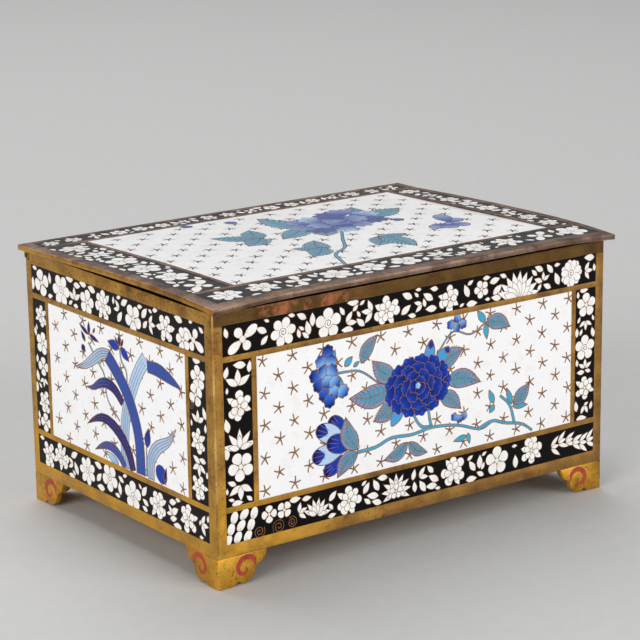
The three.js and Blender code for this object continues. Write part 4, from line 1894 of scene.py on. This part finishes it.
def round_edges(bm: Mesh, edges: list[bmesh.types.BMEdge], width_mm: float, slot: int) -> set:
    """Rounds edges.

    Args:
        bm: the mesh.
        edges: its edges to round.
        width_mm: width of the rounding.
        slot: material slot of the rounded faces.

    Returns:
        The edges of the rounded faces.
    """
    made = bmesh.ops.bevel(
        bm,
        geom=edges,
        offset=width_mm * MM,
        offset_type="OFFSET",
        affect="EDGES",
        segments=2,
        profile=0.5,
        material=-1,
        clamp_overlap=True,
    )
    for face in made["faces"]:
        face.material_index = slot
    return set(made["edges"])


def finish_metal(piece: Piece, node: str, body: str) -> Piece:
    """Shades a metal piece smooth but for its sharp edges, and puts it in the frame.

    Args:
        piece: the piece.
        node: the CAD node that it stands for.
        body: the body that carries it.

    Returns:
        The piece.
    """
    for polygon in piece.data.polygons:
        polygon.use_smooth = True
    piece.data.set_sharp_from_angle(angle=math.radians(SMOOTH_DEG))
    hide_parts(node)
    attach(piece, body)
    return piece


# ---------- sub-assemblies


@dataclass
class Inlay:
    """The enamel and wires of one field, made from its drawing. Sizes in millimetres."""

    palette: Palette
    face: Face
    node: str
    board: Board
    below_metal: float = 0.1
    thickness: float = 0.57
    grid: float = 6.0

    def build(self) -> Piece:
        """Builds the slab and rides it on its body.

        Returns:
            The piece, which replaces the plain slab.
        """
        low, high = self.face.rectangle(self.node)
        cells = self._fitted_cells(low, high)
        bm = bmesh.new()
        glaze = bm.loops.layers.float_color.new("glaze")
        ground = GLAZE_COLOUR[self.board.ground]
        places, faces = filled(bm, self.face, -self.below_metal, *self._constraints(cells, low, high))
        for indices, owner, made in faces:
            centre = sum((places[i] for i in indices), Vector((0, 0))) / len(indices)
            cell = self._top_cell(cells, owner, centre)
            made.material_index = 1 if cell and cell.near is None else 0
            for loop, index in zip(made.loops, indices):
                loop[glaze] = cell.colour_at(places[index]) if cell and cell.near else ground
        close_slab(bm, self.face.out, self.thickness)
        for made in bm.faces:
            if made.normal.dot(self.face.out) < 0.5:
                for loop in made.loops:
                    loop[glaze] = ground
        on_lid = self.face.side is Side.TOP
        finish = self.palette
        finishes = [finish.lid_enamel, finish.lid_wire] if on_lid else [finish.enamel, finish.wire]
        piece = new_object(self.node.replace("_enamel", "_inlay"), bm, finishes)
        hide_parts(self.node)
        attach(piece, "lid" if on_lid else "box")
        return piece

    @staticmethod
    def _top_cell(cells: list[Cell], owner: list[int], centre: Vector) -> Cell | None:
        """The last drawn cell that really holds a mesh face, or None on bare ground.

        Where very thin cells meet, the subdivision may give a face to a cell that it lies outside.

        Args:
            cells: the field's cells, in drawing order.
            owner: the outlines that the subdivision gives the face to, where 0 is the field itself.
            centre: the face's centre.

        Returns:
            The cell.
        """
        for number in sorted(owner, reverse=True):
            if number and contains(cells[number - 1].outline, centre):
                return cells[number - 1]
        return None

    def _fitted_cells(self, low: Vector, high: Vector) -> list[Cell]:
        """Moves the drawing's cells to the field.

        Args:
            low: the field's lower left corner.
            high: its upper right corner.

        Returns:
            The cells, in drawing order.
        """
        fitted = []
        for cell in self.board.cells:
            start, end, *outline = (
                self.board.fitted(place, low, high) for place in (cell.start, cell.end, *cell.outline)
            )
            fitted.append(Cell(tuple(outline), cell.near, cell.far, start, end))
        return fitted

    def _constraints(self, cells: list[Cell], low: Vector, high: Vector) -> tuple[Outline, list[list[int]]]:
        """Gathers the field's rectangle and every cell's outline.

        Args:
            cells: the field's cells, in drawing order.
            low: the field's lower left corner.
            high: its upper right corner.

        Returns:
            The points, with a grid of them where the face is curved, and the outlines as indices.
        """
        points = [low, Vector((high.x, low.y)), high, Vector((low.x, high.y))]
        outlines = [[0, 1, 2, 3]]
        for cell in cells:
            outline = anticlockwise(list(cell.outline))
            outlines.append(list(range(len(points), len(points) + len(outline))))
            points.extend(outline)
        if self.face.lid_form:
            columns, rows = (math.ceil(s / self.grid) for s in (high - low))
            for i in range(1, columns):
                for j in range(1, rows):
                    share = Vector((i / columns, j / rows))
                    points.append(low + (high - low) * share)
        return points, outlines


@dataclass
class Assembly:
    """One sub-assembly of the box. Sizes in millimetres."""

    palette: Palette
    faces: dict[Side, Face]

    def build(self) -> list[Piece]:
        """Builds its pieces and rides them on their bodies."""
        raise NotImplementedError


@dataclass
class Enamels(Assembly):
    """Every field's inlay, from its drawing."""

    border_wire: float = 0.14
    # each side's picture, the rectangle it is drawn in, and whether u runs backwards
    panels: dict[Side, tuple[Callable[[Board], None], Point, Point, bool]] = field(
        default_factory=lambda: {
            Side.FRONT: (front_picture, (15.1, 24.4), (136.6, 67.2), False),
            Side.BACK: (plain_branch_picture, (15.1, 24.4), (136.6, 67.2), False),
            Side.LEFT: (iris_picture, (15.3, 24.4), (92.5, 67.2), True),
            Side.RIGHT: (iris_picture, (15.3, 24.4), (92.5, 67.2), False),
            Side.TOP: (peony_picture, (18.4, 18.7), (138.8, 94.5), False),
        }
    )

    def build(self) -> list[Piece]:
        """Builds all inlays.

        Returns:
            The inlays.
        """
        pieces = []
        for side, face in self.faces.items():
            for name in ("panel", "lower_border", "upper_border", "left_border", "right_border"):
                node = f"{side.value}_{name}_enamel"
                board = self._panel(side) if name == "panel" else self._border(side, name, node)
                pieces.append(Inlay(self.palette, face, node, board).build())
        return pieces

    def _panel(self, side: Side) -> Board:
        """Draws a side's picture.

        Args:
            side: the side of the box.

        Returns:
            The drawing.
        """
        picture, low, high, mirrored = self.panels[side]
        board = Board(low, high, Glaze.WHITE, mirrored)
        picture(board)
        return board

    def _border(self, side: Side, name: str, node: str) -> Board:
        """Draws a border, with its own motifs at the front and left, and a garland elsewhere.

        Args:
            side: the side of the box.
            name: which of its borders.
            node: the CAD node of its enamel.

        Returns:
            The drawing.
        """
        low, high = self.faces[side].rectangle(node)
        start, end = low.x, high.x
        mirrored = side is Side.LEFT
        if mirrored:
            width = self.faces[side].rectangle("box_carcass")[1].x
            start, end = width - high.x, width - low.x
        board = Board((start, low.y), (end, high.y), Glaze.BLACK, mirrored, self.border_wire)
        seed = 100 + 7 * list(Side).index(side) + len(name)
        motifs = BORDERS[side][name] if side in BORDERS else garland(board, seed)
        draw_border(board, motifs, seed)
        return board


@dataclass
class Carcass(Assembly):
    """The hollow brass box with its lining of counter enamel."""

    corner_bevel: float = 0.42
    field_bevel: float = 0.1
    wall: float = 2.4
    floor_top: float = 11.1
    bare_rim: float = 1.5
    near: float = 0.02

    def build(self) -> list[Piece]:
        """Builds the box and rides it on its body.

        Returns:
            The box, alone.
        """
        low, high = (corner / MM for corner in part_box("box_carcass"))
        bm = merged_copy("box_carcass")
        corners = [e for e in sharp_edges(bm, 30.0) if max(from_sides(edge_middle(e), low, high)) < self.near]
        # the rounded corners take slot 2, the lighter arris brass: rubbed gilding with a painted highlight
        rounded = round_edges(bm, corners, self.corner_bevel, 2)
        inner = [edge for edge in sharp_edges(bm, 50.0) if edge not in rounded]
        round_edges(bm, inner, self.field_bevel, 0)
        for made in bm.faces:
            centre = made.calc_center_median() / MM
            within = min(from_sides(centre, low, high)) > self.wall - self.near
            if within and self.floor_top - self.near < centre.z < high.z - self.bare_rim:
                made.material_index = 1
            elif made.normal.z > FACING and centre.z > high.z - 0.2:
                # the wall's top face takes the dark rim brass, painted shade of the gap under the lid
                made.material_index = 3
        finish = self.palette
        piece = new_object("carcass", bm, [finish.carcass, finish.lining, finish.arris, finish.rim])
        return [finish_metal(piece, "box_carcass", "box")]


@dataclass
class Feet(Assembly):
    """The four bracket feet, with a red scroll on each outer leaf."""

    bevel: float = 0.3
    scroll_width: float = 1.9
    proud: float = 0.03
    # the scroll's line, from its wide end to the eye of the coil
    scroll: tuple[Point, ...] = (
        (13.0, 4.9), (12.7, 7.0), (10.9, 8.3), (8.6, 8.0), (7.0, 6.2), (7.2, 4.2), (8.8, 3.3),
        (10.1, 4.3), (9.5, 5.5),
    )

    def build(self) -> list[Piece]:
        """Builds the feet and their scrolls.

        Returns:
            The feet and the scrolls.
        """
        pieces = []
        for name in ("front_left", "front_right", "back_left", "back_right"):
            bm = merged_copy(f"foot_{name}")
            round_edges(bm, sharp_edges(bm, 40.0), self.bevel, 0)
            piece = new_object(f"bracket_{name}", bm, [self.palette.foot])
            pieces.append(finish_metal(piece, f"foot_{name}", "box"))
        for side in (Side.FRONT, Side.BACK, Side.LEFT, Side.RIGHT):
            pieces.extend(self._scroll(self.faces[side], end) for end in ("left", "right"))
        return pieces

    def _scroll(self, face: Face, end: str) -> Piece:
        """Makes one red scroll, coiled on the leaf of a foot.

        Args:
            face: the face of the box.
            end: which end of the face, left or right.

        Returns:
            The scroll.
        """
        width = face.rectangle("box_carcass")[1].x
        points = tuple((u if end == "left" else width - u, v) for u, v in self.scroll)
        outline = anticlockwise(Spine(points, self.scroll_width / 2, Profile.BUD, samples=36).outline())
        bm = bmesh.new()
        filled(bm, face, self.proud, outline, [list(range(len(outline)))])
        close_slab(bm, face.out, 2 * self.proud)
        piece = new_object(f"{face.side.value}_{end}_foot_scroll", bm, [self.palette.red])
        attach(piece, "box")
        return piece


@dataclass
class Lid(Assembly):
    """The sprung brass lid, lined with counter enamel below."""

    bevel: float = 0.3
    field_bevel: float = 0.1
    lining_from_ends: float = 4.2
    lining_from_front: float = 8.4
    lining_from_back: float = 12.6
    near: float = 0.02

    def build(self) -> list[Piece]:
        """Builds the plate and rides it on its body.

        Returns:
            The plate, alone.
        """
        low, high = (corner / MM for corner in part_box("lid_plate"))
        bm = merged_copy("lid_plate")
        outer = [e for e in sharp_edges(bm, 35.0) if min(from_sides(edge_middle(e), low, high)) < self.near]
        # the rounded outer edges take slot 2, the lighter lid arris brass, a painted highlight
        rounded = round_edges(bm, outer, self.bevel, 2)
        inner = [edge for edge in sharp_edges(bm, 50.0) if edge not in rounded]
        round_edges(bm, inner, self.field_bevel, 0)
        left, right = low.x + self.lining_from_ends, high.x - self.lining_from_ends
        front, back = low.y + self.lining_from_front, high.y - self.lining_from_back
        for along, place in (((1, 0, 0), left), ((1, 0, 0), right), ((0, 1, 0), front), ((0, 1, 0), back)):
            self._cut_underside(bm, Vector(along), place)
        for made in bm.faces:
            centre = made.calc_center_median() / MM
            if made.normal.z < -FACING:
                lined = left < centre.x < right and front < centre.y < back
                # the underside outside the lining takes the dark rim brass, painted shade of the gap under
                # the lid
                made.material_index = 1 if lined else 4
            elif abs(made.normal.x) > FACING and from_sides(centre, low, high)[0] < 0.05:
                made.material_index = 3
        finish = self.palette
        finishes = [finish.lid, finish.lining, finish.lid_arris, finish.lid_side, finish.rim]
        return [finish_metal(new_object("lid_shell", bm, finishes), "lid_plate", "lid")]

    @staticmethod
    def _cut_underside(bm: Mesh, along: Vector, place: float) -> None:
        """Cuts the underside's faces along one edge of its lining.

        Args:
            bm: the plate.
            along: the direction across the cut.
            place: where the cut is, in that direction.
        """
        below = [made for made in bm.faces if made.normal.z < -FACING]
        edges = {edge for made in below for edge in made.edges}
        verts = {vert for made in below for vert in made.verts}
        geom = [*verts, *edges, *below]
        bmesh.ops.bisect_plane(bm, geom=geom, dist=1e-7, plane_co=along * place * MM, plane_no=along)


@dataclass
class Hinge(Assembly):
    """The barrel of five knuckles with its pin."""

    bevel: float = 0.12
    knuckles: int = 5

    def build(self) -> list[Piece]:
        """Builds the knuckles and the pin.

        Returns:
            The knuckles and the pin.
        """
        pieces = []
        for number in range(1, self.knuckles + 1):
            body = "box" if number % 2 else "lid"
            node = f"hinge_knuckle_{number}"
            pieces.append(self._part(f"knuckle_{number}", node, body, "hinge_brass", self.palette.hinge))
        pieces.append(self._part("pivot_pin", "hinge_pin", "box", "hinge_pin_steel", self.palette.pin))
        return pieces

    def _part(self, name: str, node: str, body: str, slot: str, material: Material) -> Piece:
        """Makes one part of the hinge with its edges rounded.

        Args:
            name: the piece's name.
            node: the CAD node that it stands for.
            body: the body that carries it.
            slot: the record's slot for its finish, which is not used.
            material: its finish.

        Returns:
            The part.
        """
        bm = merged_copy(node)
        round_edges(bm, sharp_edges(bm, 60.0), self.bevel, 0)
        return finish_metal(new_object(name, bm, [material]), node, body)


# ---------- studio


@dataclass
class Studio:
    """A pale floor, soft lights and the camera. Sizes in millimetres and angles in degrees."""

    camera_place: tuple[float, float, float] = (-429.4, -588.2, 248.8)
    azimuth: float = 36.19
    elevation: float = 14.655
    roll: float = -0.816
    lens: float = 132.6
    sensor: float = 36.0
    floor_size: float = 9000.0
    fibre: float = 5.0
    room_light: float = 0.31

    def build(self) -> None:
        """Builds the whole studio."""
        bpy.context.scene.view_settings.view_transform = "Standard"
        self._floor()
        self._room()
        self._camera()
        self._softbox("key_softbox", (-1900, -700, 800), 1300, 30.0)
        self._softbox("front_softbox", (550, -1850, 750), 1300, 21.0)
        self._softbox("overhead_softbox", (200, 1000, 1900), 1800, 29.0)

    def _floor(self) -> None:
        """Lays a plain floor of matt pale paper."""
        bm = bmesh.new()
        bmesh.ops.create_grid(bm, x_segments=8, y_segments=8, size=self.floor_size * MM / 2)
        material, tree, shader = new_material("studio_paper")
        fibre = toned(tree, self.fibre, ((0.3, linear("#bebebd")), (0.7, linear("#c2c2c1"))), 6.0)
        tree.links.new(fibre, shader.inputs["Base Color"])
        shader.inputs["Roughness"].default_value = 0.8
        new_object("studio_floor", bm, [material])

    def _room(self) -> None:
        """Puts a pale grey room all round."""
        room = bpy.data.worlds.new("studio_room")
        room.use_nodes = True
        background = room.node_tree.nodes["Background"]
        background.inputs["Color"].default_value = linear("#f0f0f1")
        background.inputs["Strength"].default_value = self.room_light
        bpy.context.scene.world = room

    def _softbox(self, name: str, place: tuple[float, float, float], size: float, power: float) -> None:
        """Adds a square soft light that faces the box.

        Args:
            name: its name.
            place: where it stands.
            size: its side.
            power: its power, in watts.
        """
        light = bpy.data.lights.new(name, "AREA")
        light.energy = power
        light.size = size * MM
        lamp = bpy.data.objects.new(name, light)
        lamp.location = Vector(place) * MM
        lamp.rotation_euler = (-lamp.location).to_track_quat("-Z", "Y").to_euler()
        bpy.context.scene.collection.objects.link(lamp)

    def _camera(self) -> None:
        """Sets up the camera, turned by its azimuth, elevation and roll."""
        lens = bpy.data.cameras.new("camera")
        lens.lens = self.lens
        lens.sensor_width = self.sensor
        lens.clip_end = 50.0
        camera = bpy.data.objects.new("camera", lens)
        turn = Matrix.Rotation(-math.radians(self.azimuth), 4, "Z")
        tilt = Matrix.Rotation(math.radians(90 - self.elevation), 4, "X")
        roll = Matrix.Rotation(math.radians(self.roll), 4, "Z")
        camera.matrix_world = Matrix.Translation(Vector(self.camera_place) * MM) @ turn @ tilt @ roll
        bpy.context.scene.collection.objects.link(camera)
        bpy.context.scene.camera = camera


def main() -> None:
    """Builds every sub-assembly in order and reports each piece."""
    logging.basicConfig(level=logging.INFO, format="%(name)s %(message)s")
    faces = faces_of_box()
    palette = Palette()
    Studio().build()
    for assembly in (Carcass, Feet, Enamels, Lid, Hinge):
        for piece in assembly(palette, faces).build():
            LOG.info("%s: %d faces", piece.name, len(piece.data.polygons))


if __name__ == "__main__":
    main()
